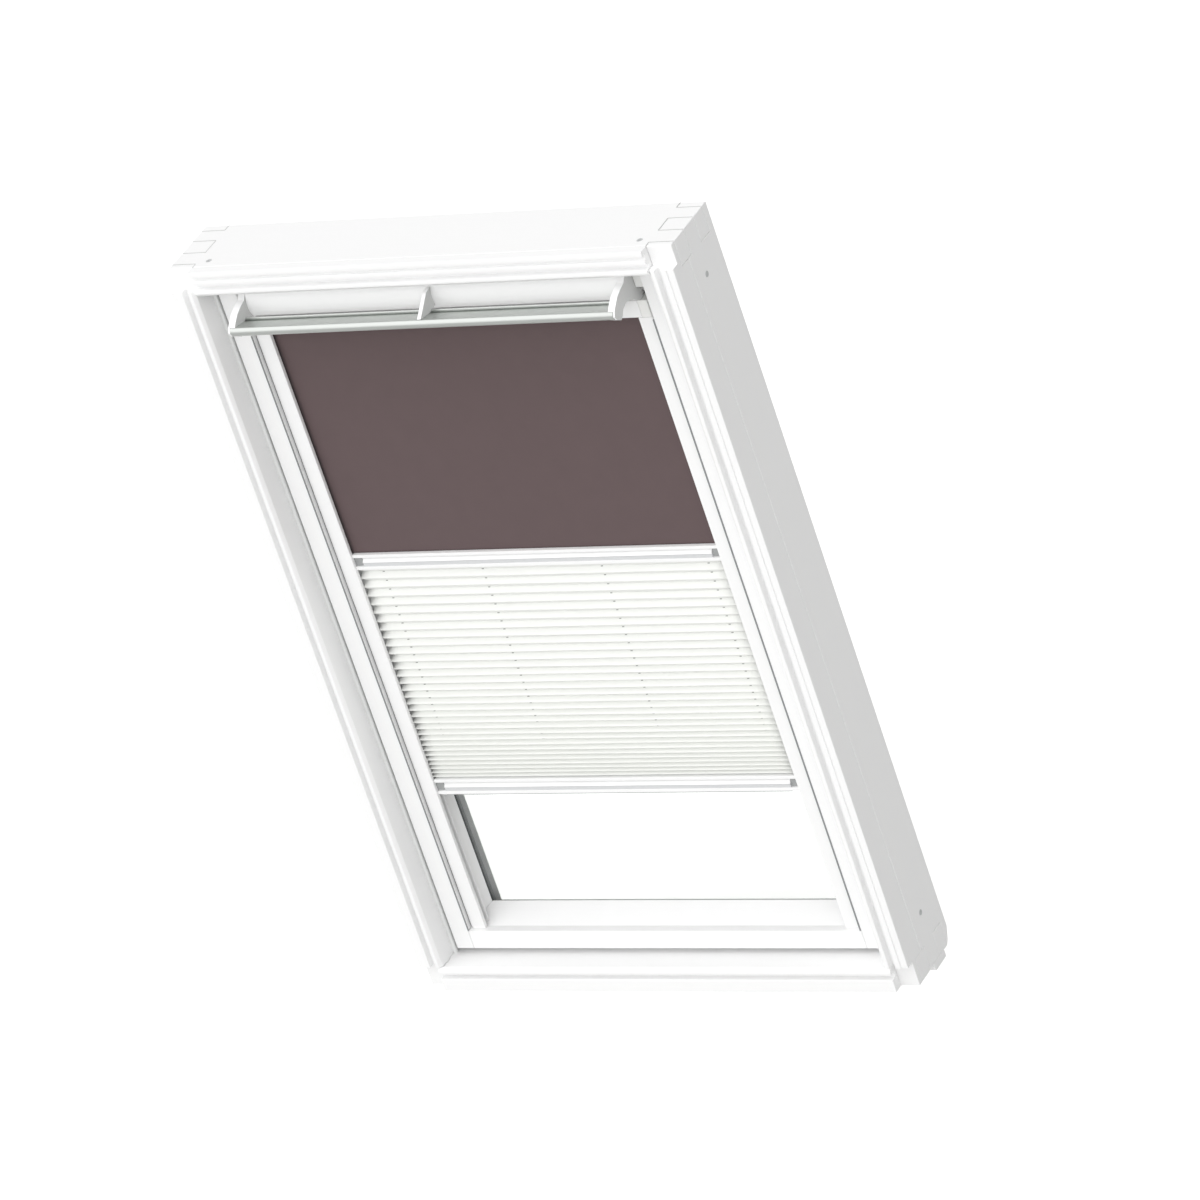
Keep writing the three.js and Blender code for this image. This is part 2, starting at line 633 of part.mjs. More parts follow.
// Side channels of the blind
const channelFlangeFront = channelFront + channelFlangeSetback;
for (const [name, side] of sides) {
  const flange = sashHalfWidth - stileFace - fit;
  const points = [
    [channelInner, channelFront],
    [channelOuter, channelFront],
    [channelOuter, channelFlangeFront],
    [flange, channelFlangeFront],
    [flange, channelFlangeFront + channelWall],
    [channelOuter, channelFlangeFront + channelWall],
    [channelOuter, channelBack],
    [channelInner, channelBack],
    [channelInner, channelBack - channelWall],
    [channelOuter - channelWall, channelBack - channelWall],
    [channelOuter - channelWall, channelFront + channelWall],
    [channelInner + channelWall, channelFront + channelWall],
    [channelInner + channelWall, channelFront + channelLip],
    [channelInner, channelFront + channelLip],
  ];
  const channel = alongZ(points.map(([x, y]) => [side * x, y]), channelBottom, channelTop);
  piece(blind, `${name}_channel`, cut(channel, bottomRailBlank(fit)), whiteMetal);
}

// Headbox, its end caps and the roller inside
const headboxOutline = [
  [channelFront, headboxBottom],
  [channelFront, headboxTop],
  [channelFront + headboxDepth, headboxTop],
  [channelFront + headboxDepth, headboxBottom],
  [channelFront + headboxDepth - channelWall, headboxBottom],
  [channelFront + headboxDepth - channelWall, headboxTop - channelWall],
  [channelFront + channelWall, headboxTop - channelWall],
  [channelFront + channelWall, headboxBottom + channelWall],
  [channelFront + headboxLip, headboxBottom + channelWall],
  [channelFront + headboxLip, headboxBottom],
];
piece(blind, "headbox", alongX(headboxOutline, -headboxHalf, headboxHalf), whiteMetal);

const capInner = headboxHalf + fit;
for (const [name, side] of sides) {
  const near = side * capInner;
  const far = side * channelOuter;
  const block = slab(near, far, channelFront, channelFront + capDepth, headboxBottom, headboxTop);
  const armEnd = side * (capInner + capArm.width);
  const armBack = channelFront + capArm.depth;
  const armSpan = [headboxBottom + channelWall, headboxTop - channelWall];
  const arm = slab(near, armEnd, channelFront, armBack, ...armSpan);
  const pinEnd = side * (capInner - axlePin.length);
  const pin = rod(axlePin.radius, side * (capInner + capArm.width / 2), pinEnd, rollerDepth, rollerHeight);
  piece(blind, `${name}_headbox_cap`, join(block, arm, pin), whitePlastic);
}

const rollerHalf = headboxHalf - 2 * fit;
const tubeInside = rollerTubeRadius - rollerTubeWall;
const tubeBore = rod(tubeInside, -rollerHalf - overrun, rollerHalf + overrun, rollerDepth, rollerHeight);
const tube = cut(rod(rollerTubeRadius, -rollerHalf, rollerHalf, rollerDepth, rollerHeight), tubeBore);
piece(blind, "roller_tube", tube, anodised);
for (const [name, side] of sides) {
  const outer = side * rollerHalf;
  const inner = side * (headboxHalf - 2 * axlePin.length);
  const plug = rod(tubeInside - fit, outer, inner, rollerDepth, rollerHeight);
  const pastPin = side * (capInner - axlePin.length - fit);
  const mouth = side * (headboxHalf + overrun);
  const socket = rod(axlePin.radius + fit, mouth, pastPin, rollerDepth, rollerHeight);
  piece(blind, `${name}_roller_plug`, cut(plug, socket), whitePlastic);
}
const clothHalf = halfWidth - clothEdgeInset;
const rollBore = rod(rollerTubeRadius + fit, -rollerHalf, rollerHalf, rollerDepth, rollerHeight);
const rollHalf = rollerHalf - 2 * fit;
const roll = cut(rod(rollRadius, -rollHalf, rollHalf, rollerDepth, rollerHeight), rollBore);
piece(blind, "cloth_roll", roll, darkCloth);

// Dark cloth, from the roller down to the upper bar
const darkBottom = upperBarBottom + barHeight + fit;
const darkBack = rollerDepth - rollRadius - fit;
const darkFront = darkBack - clothThickness;
const darkSheet = slab(-clothHalf, clothHalf, darkFront, darkBack, darkBottom, rollerHeight);
piece(blind, "dark_cloth", darkSheet, darkCloth);

// Bars: a section with a finger recess to the room, and a glide in each channel
const recessBack = barFront + barRecess.deep;
const barHalf = channelInner - fit;
for (const [level, bottom] of [["upper", upperBarBottom], ["lower", lowerBarBottom]]) {
  const top = bottom + barHeight;
  const recessBottom = bottom + barRecess.bottomFlange;
  const recessTop = top - barRecess.topFlange;
  const section = [
    [barFront, bottom],
    [barFront, recessBottom],
    [recessBack, recessBottom],
    [recessBack, recessTop],
    [barFront, recessTop],
    [barFront, top],
    [barFront + barDepth, top],
    [barFront + barDepth, bottom],
  ];
  piece(blind, `${level}_bar`, alongX(section, -barHalf, barHalf), whiteMetal);
  for (const [name, side] of sides) {
    const runFront = channelFront + channelWall + fit;
    const runBack = channelBack - channelWall - fit;
    const runOuter = side * (channelOuter - channelWall - fit);
    const runInner = side * (channelInner + channelWall + fit);
    const runner = slab(runOuter, runInner, runFront, runBack, bottom, top);
    const tongueBack = recessBack - fit;
    const tongueFront = tongueBack - glideTongue.thickness;
    const tongueEnd = side * (barHalf - glideTongue.length);
    const tongueSpan = [recessBottom + fit, recessTop - fit];
    const tongue = slab(runInner, tongueEnd, tongueFront, tongueBack, ...tongueSpan);
    piece(blind, `${name}_${level}_glide`, join(runner, tongue), greyPlastic);
  }
}

// Pleated cloth: the pleats close up towards the lower bar under their own weight
const meanPitch = (pleatTop - pleatBottom) / pleatCount;
const foldMiddle = barFront + barDepth / 2 + barRecess.deep / 4;
const foldLine = [];
let foldHeight = pleatTop;
for (let i = 0; i < pleatCount; i += 1) {
  const share = 1 - (2 * i) / (pleatCount - 1);
  const pitch = meanPitch * (1 + pleatSpreadShare * share);
  const reach = Math.sqrt(pleatSlant ** 2 - (pitch / 2) ** 2) / 2;
  foldLine.push([foldMiddle + reach, foldHeight], [foldMiddle - reach, foldHeight - pitch / 2]);
  foldHeight -= pitch;
}
foldLine.push([foldMiddle + pleatSlant / 2 - fit, pleatBottom]);
const pleatOutline = [
  ...foldLine,
  ...foldLine.map(([y, z]) => [y + pleatClothThickness, z]).reverse(),
];
piece(blind, "pleated_cloth", alongX(pleatOutline, -barHalf, barHalf), paleCloth);

export default roofWindow;
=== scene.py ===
# A centre-pivot roof window with its blind: a dark roller cloth above and a pale pleated cloth below.
# The sections follow the window as it is put together: outer frame, sash, glass, ventilation flap,
# blind, then the studio that it is photographed in. Metres; X across, Y to the weather side, Z up.
import json
import math

import bmesh
import bpy
from mathutils import Matrix, Vector


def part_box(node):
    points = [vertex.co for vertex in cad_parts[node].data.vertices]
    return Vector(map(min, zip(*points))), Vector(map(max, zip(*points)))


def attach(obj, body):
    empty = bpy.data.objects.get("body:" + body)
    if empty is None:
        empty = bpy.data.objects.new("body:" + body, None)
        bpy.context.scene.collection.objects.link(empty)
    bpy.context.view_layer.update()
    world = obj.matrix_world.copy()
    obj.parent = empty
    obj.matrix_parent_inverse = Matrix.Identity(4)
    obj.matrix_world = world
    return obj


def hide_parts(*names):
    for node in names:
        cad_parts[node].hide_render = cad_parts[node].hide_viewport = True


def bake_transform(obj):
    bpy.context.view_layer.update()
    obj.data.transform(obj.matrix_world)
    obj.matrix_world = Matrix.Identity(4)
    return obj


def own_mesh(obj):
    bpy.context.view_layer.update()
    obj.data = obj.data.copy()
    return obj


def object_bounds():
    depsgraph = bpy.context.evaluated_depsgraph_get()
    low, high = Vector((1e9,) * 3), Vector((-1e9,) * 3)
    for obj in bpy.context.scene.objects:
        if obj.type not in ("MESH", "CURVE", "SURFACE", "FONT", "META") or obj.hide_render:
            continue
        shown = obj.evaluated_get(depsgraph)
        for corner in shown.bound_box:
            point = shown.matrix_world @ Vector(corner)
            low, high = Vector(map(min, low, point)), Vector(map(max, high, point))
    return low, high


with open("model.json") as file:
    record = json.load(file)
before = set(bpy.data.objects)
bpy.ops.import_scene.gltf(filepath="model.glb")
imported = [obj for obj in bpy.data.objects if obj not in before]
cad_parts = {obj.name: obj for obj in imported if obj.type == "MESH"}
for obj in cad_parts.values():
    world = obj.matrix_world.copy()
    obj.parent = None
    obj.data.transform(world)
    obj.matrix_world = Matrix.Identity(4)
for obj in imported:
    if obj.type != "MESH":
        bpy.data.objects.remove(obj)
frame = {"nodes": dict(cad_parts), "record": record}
cad_low, cad_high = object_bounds()
nodes = frame["nodes"]
mm = 0.001
bodies = frame["record"]["behaviour"]["bodies"]
body_of = {node: body for body, members in bodies.items() for node in members}


# Jambs, head and sill: finger-jointed pine, planed with a moulded front edge, glued and screwed at
# the corners, then sprayed white. Every edge is sanded round by about a millimetre before painting.
TIMBER_EDGE = 1.1 * mm
GRAIN_WIDTH = 1.3 * mm
GRAIN_LENGTH = 70 * mm
SPRAY_GRAIN = 1.8 * mm
PAINT_LIGHT = "#FBFBFB"
PAINT_SHADE = "#F7F7F7"
SHARP = math.radians(24)
FLAT = math.radians(0.2)
WELD = 0.01 * mm
LARGEST_EDGE_SHARE = 0.4
FLAT_PLANE_WEIGHT = 100


def linear(hex_colour):
    """An sRGB hex colour as linear red, green, blue and alpha."""
    channels = [int(hex_colour[i:i + 2], 16) / 255 for i in (1, 3, 5)]
    curved = [c / 12.92 if c <= 0.04045 else ((c + 0.055) / 1.055) ** 2.4 for c in channels]
    return (*curved, 1.0)


def add_node(owner, kind, settings=None, links=None):
    """One more shader node: settings go to its sockets or options, links feed its sockets."""
    node = owner.node_tree.nodes.new("ShaderNode" + kind)
    for key, value in (settings or {}).items():
        if isinstance(key, int) or key in node.inputs:
            node.inputs[key].default_value = value
        else:
            setattr(node, key, value)
    for key, (source, output) in (links or {}).items():
        owner.node_tree.links.new(source.outputs[output], node.inputs[key])
    return node


def new_finish(name):
    """A material with nothing in it yet but its output."""
    finish = bpy.data.materials.new(name)
    finish.use_nodes = True
    finish.node_tree.nodes.clear()
    return finish


def skin(finish, dark, light, pattern, settings, gloss=None, relief=None):
    """Ends a material: tone, gloss and relief follow its patterns, on one shader led to the output."""
    tone = add_node(
        finish, "MixRGB", {"Color1": linear(dark), "Color2": linear(light)}, {"Fac": pattern}
    )
    links = {"Base Color": (tone, "Color")}
    if gloss:
        limits, source = gloss
        shine = add_node(finish, "MapRange", limits, {"Value": source})
        links["Roughness"] = (shine, "Result")
    if relief:
        form, height, *under = relief
        heights = {"Height": height, "Normal": under[0]} if under else {"Height": height}
        bump = add_node(finish, "Bump", form, heights)
        links["Normal"] = (bump, "Normal")
    shader = add_node(finish, "BsdfPrincipled", settings, links)
    add_node(finish, "OutputMaterial", {}, {"Surface": (shader, "BSDF")})
    return finish


def painted_pine(name, grain_axis):
    """Acrylic sprayed on planed pine: half matt white, with the grain just telling through it."""
    finish = new_finish(name)
    place = add_node(finish, "TexCoord")
    grain_scale = [1 / GRAIN_WIDTH] * 3
    grain_scale[grain_axis] = 1 / GRAIN_LENGTH
    along = add_node(finish, "Mapping", {"Scale": grain_scale}, {"Vector": (place, "Object")})
    grain = add_node(
        finish, "TexNoise", {"Scale": 1.0, "Detail": 3.0, "Roughness": 0.6}, {"Vector": (along, "Vector")}
    )
    spray = add_node(
        finish, "TexNoise", {"Scale": 1 / SPRAY_GRAIN, "Detail": 2.0}, {"Vector": (place, "Object")}
    )
    grain_relief = add_node(
        finish, "Bump", {"Strength": 0.35, "Distance": 0.04 * mm}, {"Height": (grain, "Fac")}
    )
    return skin(
        finish, PAINT_SHADE, PAINT_LIGHT, (grain, "Fac"), {"IOR": 1.5},
        gloss=({"To Min": 0.40, "To Max": 0.52}, (spray, "Fac")),
        relief=({"Strength": 0.3, "Distance": 0.03 * mm}, (spray, "Fac"), (grain_relief, "Normal")),
    )


def round_edges(piece, edge, clamp=False):
    """Rounds a piece's sharp edges by that much, and by less where a face beside them is narrow."""
    # A clamped rounding stops where it meets the next one, as the fine steps of castings need
    form = bmesh.new()
    form.from_mesh(piece.data)
    weight = form.edges.layers.float.new("bevel_weight_edge")
    for rim in form.edges:
        if len(rim.link_faces) != 2 or rim.calc_face_angle(0) < SHARP:
            continue
        beside = [
            other.calc_length()
            for face in rim.link_faces
            for other in face.edges
            if other is not rim and (other.verts[0] in rim.verts or other.verts[1] in rim.verts)
        ]
        rim[weight] = min(1.0, LARGEST_EDGE_SHARE * min(beside) / edge)
    for face in form.faces:
        face.smooth = True
    form.to_mesh(piece.data)
    form.free()
    bevel = piece.modifiers.new("sanded_edges", "BEVEL")
    bevel.width = edge
    bevel.segments = 2
    bevel.limit_method = "WEIGHT"
    bevel.use_clamp_overlap = clamp
    planes = piece.modifiers.new("flat_planes", "WEIGHTED_NORMAL")
    planes.mode = "FACE_AREA"
    planes.weight = FLAT_PLANE_WEIGHT
    return piece


def new_piece(name, form):
    """The finished bmesh as an object in the scene."""
    mesh = bpy.data.meshes.new(name)
    form.to_mesh(mesh)
    form.free()
    piece = bpy.data.objects.new(name, mesh)
    bpy.context.scene.collection.objects.link(piece)
    return piece


def eased(node, name, edge, weld=WELD, clamp=False):
    """The solid of a CAD node again, with its edges rounded."""
    form = bmesh.new()
    form.from_mesh(nodes[node].data)
    bmesh.ops.remove_doubles(form, verts=form.verts, dist=weld)
    bmesh.ops.dissolve_limit(form, angle_limit=FLAT, verts=form.verts, edges=form.edges)
    return round_edges(new_piece(name, form), edge, clamp)


def hang(piece, finish, body):
    """Gives a piece its finish and its colour slot, and hangs it on a body."""
    piece.data.materials.clear()
    piece.data.materials.append(finish)
    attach(piece, body)


def fix(piece, finish, slot, *stands_for):
    """Hangs a piece on the body of the CAD nodes that it stands for, and hides those nodes."""
    hang(piece, finish, body_of[stands_for[0]])
    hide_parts(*stands_for)


ACROSS, OUTWARD, UPWARD = 0, 1, 2
pine_upright = painted_pine("white_painted_pine_upright", UPWARD)
pine_crosswise = painted_pine("white_painted_pine_crosswise", ACROSS)
for side in ("left", "right"):
    jamb = eased(f"{side}_jamb", f"{side}_jamb_timber", TIMBER_EDGE)
    fix(jamb, pine_upright, "painted_wood", f"{side}_jamb")
for member in ("head", "sill"):
    fix(eased(member, f"{member}_timber", TIMBER_EDGE), pine_crosswise, "painted_wood", member)


# Seams of the corner joints: where the fingers of head and jamb meet on the head's top face, the glue
# line has drawn the paint in, which leaves a fine grey line along each finger and round its end.
SEAM_WIDTH = 1.1 * mm
SEAM_PROUD = 0.06 * mm
SEAM_DEEP = 0.5 * mm
SEAM_LIGHT = "#CCCDCB"
SEAM_SHADE = "#C0C1BF"
FINGER_SHARES = (0, 0.09, 0.36, 0.64, 0.883, 1)
COMB_FRONT = 16 * mm
SIDES = (("left", -1), ("right", 1))

seam_finish = new_finish("sunken_paint_on_glue_seam")
seam_place = add_node(seam_finish, "TexCoord")
seam_grain = add_node(
    seam_finish, "TexNoise", {"Scale": 1 / SPRAY_GRAIN, "Detail": 2.0}, {"Vector": (seam_place, "Object")}
)
skin(seam_finish, SEAM_SHADE, SEAM_LIGHT, (seam_grain, "Fac"), {"Roughness": 0.6})

head_low, head_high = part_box("head")
member_face = head_high.z - head_low.z
comb_depth = head_high.y - head_low.y - COMB_FRONT
for side, sign in SIDES:
    form = bmesh.new()
    outer = head_high.x * sign - sign * TIMBER_EDGE
    inner = (head_high.x - member_face) * sign
    depths = [head_low.y + COMB_FRONT + share * comb_depth for share in FINGER_SHARES]
    lines = [(inner, outer, y - SEAM_WIDTH / 2, y + SEAM_WIDTH / 2) for y in depths[1:-1]]
    lines += [(inner - sign * SEAM_WIDTH, inner, y0, y1) for y0, y1 in zip(depths[::2], depths[1::2])]
    for x0, x1, y0, y1 in lines:
        corners = [(x0, y0), (x1, y0), (x1, y1), (x0, y1)]
        top = [form.verts.new((x, y, head_high.z + SEAM_PROUD)) for x, y in corners]
        bottom = [form.verts.new((x, y, head_high.z - SEAM_DEEP)) for x, y in corners]
        form.faces.new(top)
        form.faces.new(bottom)
        for i in range(len(corners)):
            after = (i + 1) % len(corners)
            form.faces.new((top[i], top[after], bottom[after], bottom[i]))
    bmesh.ops.recalc_face_normals(form, faces=form.faces)
    hang(new_piece(f"{side}_comb_joint_seams", form), seam_finish, body_of["head"])


# Drip rail: a strip of the same pine let into the underside of the sill, so that water drops off its
# lower edge. Glued in after the frame is planed and sprayed with it.
fix(eased("drip_rail", "drip_rail_timber", TIMBER_EDGE), pine_crosswise, "painted_wood", "drip_rail")


# Frame screws: countersunk steel screws with a cross recess, two down through the head and two in
# the outer side of each jamb. Pressed cold, lacquered pale grey, driven a hair below the face.
SCREW_RINGS = 14
SCREW_STEPS = 48
RECESS_ARM = 0.62 * mm
RECESS_REACH = 2.4 * mm
RECESS_DEPTH = 1.5 * mm
RECESS_SLOPE_SHARE = 0.6
SCREW_DISH = 0.35 * mm
SCREW_GREY = "#D3D5D5"
SCREW_GREY_DARK = "#C6C8C8"
LACQUER_GRAIN = 0.9 * mm
LACQUER_DRIFT = 40 * mm


def lacquered_metal(name, dark, light):
    """Lacquer on metal: smooth, a little glossier than the painted wood."""
    finish = new_finish(name)
    place = add_node(finish, "TexCoord")
    peel = add_node(
        finish, "TexNoise", {"Scale": 1 / LACQUER_GRAIN, "Detail": 1.0}, {"Vector": (place, "Object")}
    )
    drift = add_node(
        finish, "TexNoise", {"Scale": 1 / LACQUER_DRIFT, "Detail": 3.0}, {"Vector": (place, "Object")}
    )
    return skin(
        finish, dark, light, (drift, "Fac"), {"IOR": 1.5},
        gloss=({"To Min": 0.3, "To Max": 0.4}, (drift, "Fac")),
        relief=({"Strength": 0.2, "Distance": 0.02 * mm}, (peel, "Fac")),
    )


def screw_head(name, node, outward):
    """A round head in its CAD place, with a cross recess pressed into the side that faces outward."""
    low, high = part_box(node)
    centre = (low + high) / 2
    size = high - low
    facing = Vector(outward)
    thick = abs(size.dot(facing))
    first = Vector((0, 1, 0)) if facing.x else Vector((1, 0, 0))
    second = facing.cross(first)
    radius = abs(size.dot(first)) / 2
    face_centre = centre + facing * thick / 2
    form = bmesh.new()
    hub = form.verts.new(face_centre - facing * RECESS_DEPTH)
    rings = []
    for ring in range(1, SCREW_RINGS + 1):
        r = radius * ring / SCREW_RINGS
        points = []
        for step in range(SCREW_STEPS):
            turn = 2 * math.pi * step / SCREW_STEPS
            u, v = r * math.cos(turn), r * math.sin(turn)
            arm, reach = sorted((abs(u), abs(v)))
            in_recess = arm < RECESS_ARM and reach < RECESS_REACH
            depth = RECESS_DEPTH * (1 - RECESS_SLOPE_SHARE * reach / RECESS_REACH) if in_recess else 0
            depth += SCREW_DISH * (1 - r / radius) ** 2
            points.append(form.verts.new(face_centre + first * u + second * v - facing * depth))
        rings.append(points)
    foot = []
    for point in rings[-1]:
        sunk = (face_centre - point.co).dot(facing)
        foot.append(form.verts.new(point.co - facing * (thick - sunk)))
    rings.append(foot)
    for step in range(SCREW_STEPS):
        after = (step + 1) % SCREW_STEPS
        form.faces.new((hub, rings[0][step], rings[0][after]))
        for inner, outer in zip(rings, rings[1:]):
            form.faces.new((inner[step], outer[step], outer[after], inner[after]))
    form.faces.new(list(reversed(foot)))
    bmesh.ops.recalc_face_normals(form, faces=form.faces)
    return new_piece(name, form)


screw_lacquer = lacquered_metal("lacquered_screw_steel", SCREW_GREY_DARK, SCREW_GREY)
for side, sign in SIDES:
    head_screw = screw_head(f"{side}_head_screw_pressed", f"{side}_head_screw", (0, 0, 1))
    fix(head_screw, screw_lacquer, "screw_steel", f"{side}_head_screw")
    for level in ("lower", "upper"):
        node = f"{side}_{level}_jamb_screw"
        fix(screw_head(f"{node}_pressed", node, (sign, 0, 0)), screw_lacquer, "screw_steel", node)


# Frame seals: lengths of pale grey rubber with a flat front, a round lip and a waisted foot, pushed
# into the frame all round the sash. Extruded and cut square, so they show faint lines along them.
SEAL_FOOT = 1.2 * mm
SEAL_NOSE = 1.1 * mm
SEAL_ROUND = 12
RUBBER_GREY = "#EDEEED"
RUBBER_GREY_DARK = "#E4E5E4"
DIE_LINE = 0.8 * mm
RUBBER_BLOOM = 6 * mm


def extruded_rubber(name, dark, light):
    """Extruded rubber: quite matt, with a soft sheen and faint draw lines from the die."""
    finish = new_finish(name)
    place = add_node(finish, "TexCoord")
    bloom = add_node(
        finish, "TexNoise", {"Scale": 1 / RUBBER_BLOOM, "Detail": 4.0}, {"Vector": (place, "Object")}
    )
    lines = add_node(
        finish, "TexNoise", {"Scale": 1 / DIE_LINE, "Detail": 1.0}, {"Vector": (place, "Object")}
    )
    return skin(
        finish, dark, light, (bloom, "Fac"), {"IOR": 1.52, "Sheen Weight": 0.1},
        gloss=({"To Min": 0.6, "To Max": 0.8}, (bloom, "Fac")),
        relief=({"Strength": 0.3, "Distance": 0.03 * mm}, (lines, "Fac")),
    )


def drawn(name, outline, start, end, axis):
    """A closed outline drawn out along an axis: (y, z) points along X, or (x, y) points along Z."""
    form = bmesh.new()
    ends = []
    for reach in (start, end):
        if axis == ACROSS:
            ends.append([form.verts.new((reach, a, b)) for a, b in outline])
        else:
            ends.append([form.verts.new((a, b, reach)) for a, b in outline])
    count = len(outline)
    for i in range(count):
        after = (i + 1) % count
        form.faces.new((ends[0][i], ends[0][after], ends[1][after], ends[1][i]))
    form.faces.new(ends[0])
    form.faces.new(ends[1])
    bmesh.ops.recalc_face_normals(form, faces=form.faces)
    return new_piece(name, form)


def seal_outline(front, back, seat, lip):
    """Depth and place of the profile: a flat front, a half-round lip on the sash and a waisted foot."""
    inward = 1 if lip > seat else -1
    radius = (back - front) / 2
    points = [(front, seat)]
    for step in range(SEAL_ROUND + 1):
        turn = math.pi * step / SEAL_ROUND
        nose = lip - inward * (SEAL_NOSE - SEAL_NOSE * math.sin(turn))
        points.append((front + radius * (1 - math.cos(turn)), nose))
    points += [(front + radius, lip - inward * 2 * SEAL_NOSE), (front + radius, seat + inward * SEAL_FOOT)]
    points += [(back, seat + inward * SEAL_FOOT), (back, seat)]
    return points


seal_rubber = extruded_rubber("extruded_grey_seal_rubber", RUBBER_GREY_DARK, RUBBER_GREY)
for side, sign in SIDES:
    low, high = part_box(f"{side}_seal")
    seat, lip = (low.x, high.x) if sign < 0 else (high.x, low.x)
    outline = [(x, y) for y, x in seal_outline(low.y, high.y, seat, lip)]
    strip = drawn(f"{side}_seal_strip", outline, low.z, high.z, UPWARD)
    fix(strip, seal_rubber, "seal_rubber", f"{side}_seal")
for end in ("head", "sill"):
    low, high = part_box(f"{end}_seal")
    seat, lip = (low.z, high.z) if end == "sill" else (high.z, low.z)
    outline = seal_outline(low.y, high.y, seat, lip)
    strip = drawn(f"{end}_seal_strip", outline, low.x, high.x, ACROSS)
    fix(strip, seal_rubber, "seal_rubber", f"{end}_seal")


# Pivot hinges, striker and lock: stamped and turned steel, zinc plated. The plates are screwed flat
# to jamb and stile at half height, the lock case is let into the top rail and its bolt slides in it.
PLATE_EDGE = 0.5 * mm
ZINC_LIGHT = "#C9CBCC"
ZINC_SHADE = "#A9ADB0"
ZINC_CRYSTAL = 0.6 * mm


def zinc_plated_steel(name):
    """Cold-formed steel with bright zinc: grey, satin, slightly cloudy from the plating bath."""
    finish = new_finish(name)
    place = add_node(finish, "TexCoord")
    cloud = add_node(
        finish, "TexNoise", {"Scale": 1 / ZINC_CRYSTAL, "Detail": 3.0}, {"Vector": (place, "Object")}
    )
    return skin(
        finish, ZINC_SHADE, ZINC_LIGHT, (cloud, "Fac"), {"Metallic": 1.0},
        gloss=({"To Min": 0.28, "To Max": 0.45}, (cloud, "Fac")),
        relief=({"Strength": 0.2, "Distance": 0.02 * mm}, (cloud, "Fac")),
    )


plate_zinc = zinc_plated_steel("zinc_plated_plate_steel")
steel_nodes = ["striker_plate", "lock_case", "latch_bolt"]
for side in ("left", "right"):
    steel_nodes += [f"{side}_frame_pivot", f"{side}_sash_pivot", f"{side}_pivot_pin"]
for node in steel_nodes:
    fix(eased(node, f"{node}_steel", PLATE_EDGE), plate_zinc, "steel", node)


# Sash: two pine stiles that run through, a bottom and a top rail between them, moulded inside to a
# square ledge and a slope down to the glass, glued, sanded and sprayed like the frame.
SHOULDER_WELD = 0.35 * mm
for side in ("left", "right"):
    stile = eased(f"{side}_stile", f"{side}_stile_timber", TIMBER_EDGE)
    fix(stile, pine_upright, "painted_wood", f"{side}_stile")
for end in ("bottom", "top"):
    rail = eased(f"{end}_rail", f"{end}_rail_timber", TIMBER_EDGE, SHOULDER_WELD, clamp=end == "top")
    fix(rail, pine_crosswise, "painted_wood", f"{end}_rail")


# Double glazing: two panes of float glass with polished edges, and between them at the rim a bent
# aluminium spacer with small holes to the drying grains inside it. A black butyl line, pressed out a
# little at the room side, seals it to the inner pane; its black fades out over 5 mm along the spacer,
# partly the butyl and partly painted shade for the shadow beside the inner pane.
GLASS_TINT = "#FCFDFC"
SPACER_LIGHT = "#A6A9AB"
SPACER_DARK = "#7B7E81"
BUTYL_AND_SHADE_BLACK = "#26282A"
BUTYL_SHADE_FROM = 65 * mm
BUTYL_SHADE_TO = 70 * mm
SPACER_HOLE = 2.6 * mm
SPACER_EDGE = 0.4 * mm

glass = new_finish("float_glass")
glass_shader = add_node(
    glass, "BsdfPrincipled",
    {
        "Base Color": linear(GLASS_TINT), "Roughness": 0.0, "IOR": 1.52,
        "Transmission Weight": 1.0,
    },
)
add_node(glass, "OutputMaterial", {}, {"Surface": (glass_shader, "BSDF")})
for pane in ("inner_pane", "outer_pane"):
    nodes[pane].data.materials.clear()
    nodes[pane].data.materials.append(glass)

# Grey lacquered strip: half matt, dotted with pin holes, and black at the room side, fading to grey
# outward: the butyl line and painted shade together
spacer_metal = new_finish("lacquered_spacer_aluminium")
spacer_place = add_node(spacer_metal, "TexCoord")
spacer_holes = add_node(
    spacer_metal, "TexVoronoi", {"Scale": 1 / SPACER_HOLE, "Randomness": 0.1},
    {"Vector": (spacer_place, "Object")},
)
hole_edge = add_node(
    spacer_metal, "MapRange",
    {"From Min": 0.18, "From Max": 0.26}, {"Value": (spacer_holes, "Distance")},
)
spacer_tone = add_node(
    spacer_metal, "MixRGB",
    {"Color1": linear(SPACER_DARK), "Color2": linear(SPACER_LIGHT)}, {"Fac": (hole_edge, "Result")},
)
spacer_depth = add_node(spacer_metal, "SeparateXYZ", {}, {"Vector": (spacer_place, "Object")})
butyl_and_shade_edge = add_node(
    spacer_metal, "MapRange",
    {"From Min": BUTYL_SHADE_FROM, "From Max": BUTYL_SHADE_TO}, {"Value": (spacer_depth, "Y")},
)
# The black side of this mix is partly butyl, partly painted shade beside the inner pane
sealed_and_shaded_tone = add_node(
    spacer_metal, "MixRGB", {"Color1": linear(BUTYL_AND_SHADE_BLACK)},
    {"Fac": (butyl_and_shade_edge, "Result"), "Color2": (spacer_tone, "Color")},
)
spacer_relief = add_node(
    spacer_metal, "Bump", {"Strength": 0.4, "Distance": 0.2 * mm}, {"Height": (hole_edge, "Result")}
)
spacer_shader = add_node(
    spacer_metal, "BsdfPrincipled", {"Roughness": 0.42, "IOR": 1.5},
    {"Base Color": (sealed_and_shaded_tone, "Color"), "Normal": (spacer_relief, "Normal")},
)
add_node(spacer_metal, "OutputMaterial", {}, {"Surface": (spacer_shader, "BSDF")})
spacer = eased("glass_spacer", "glass_spacer_strip", SPACER_EDGE)
fix(spacer, spacer_metal, "spacer_aluminium", "glass_spacer")


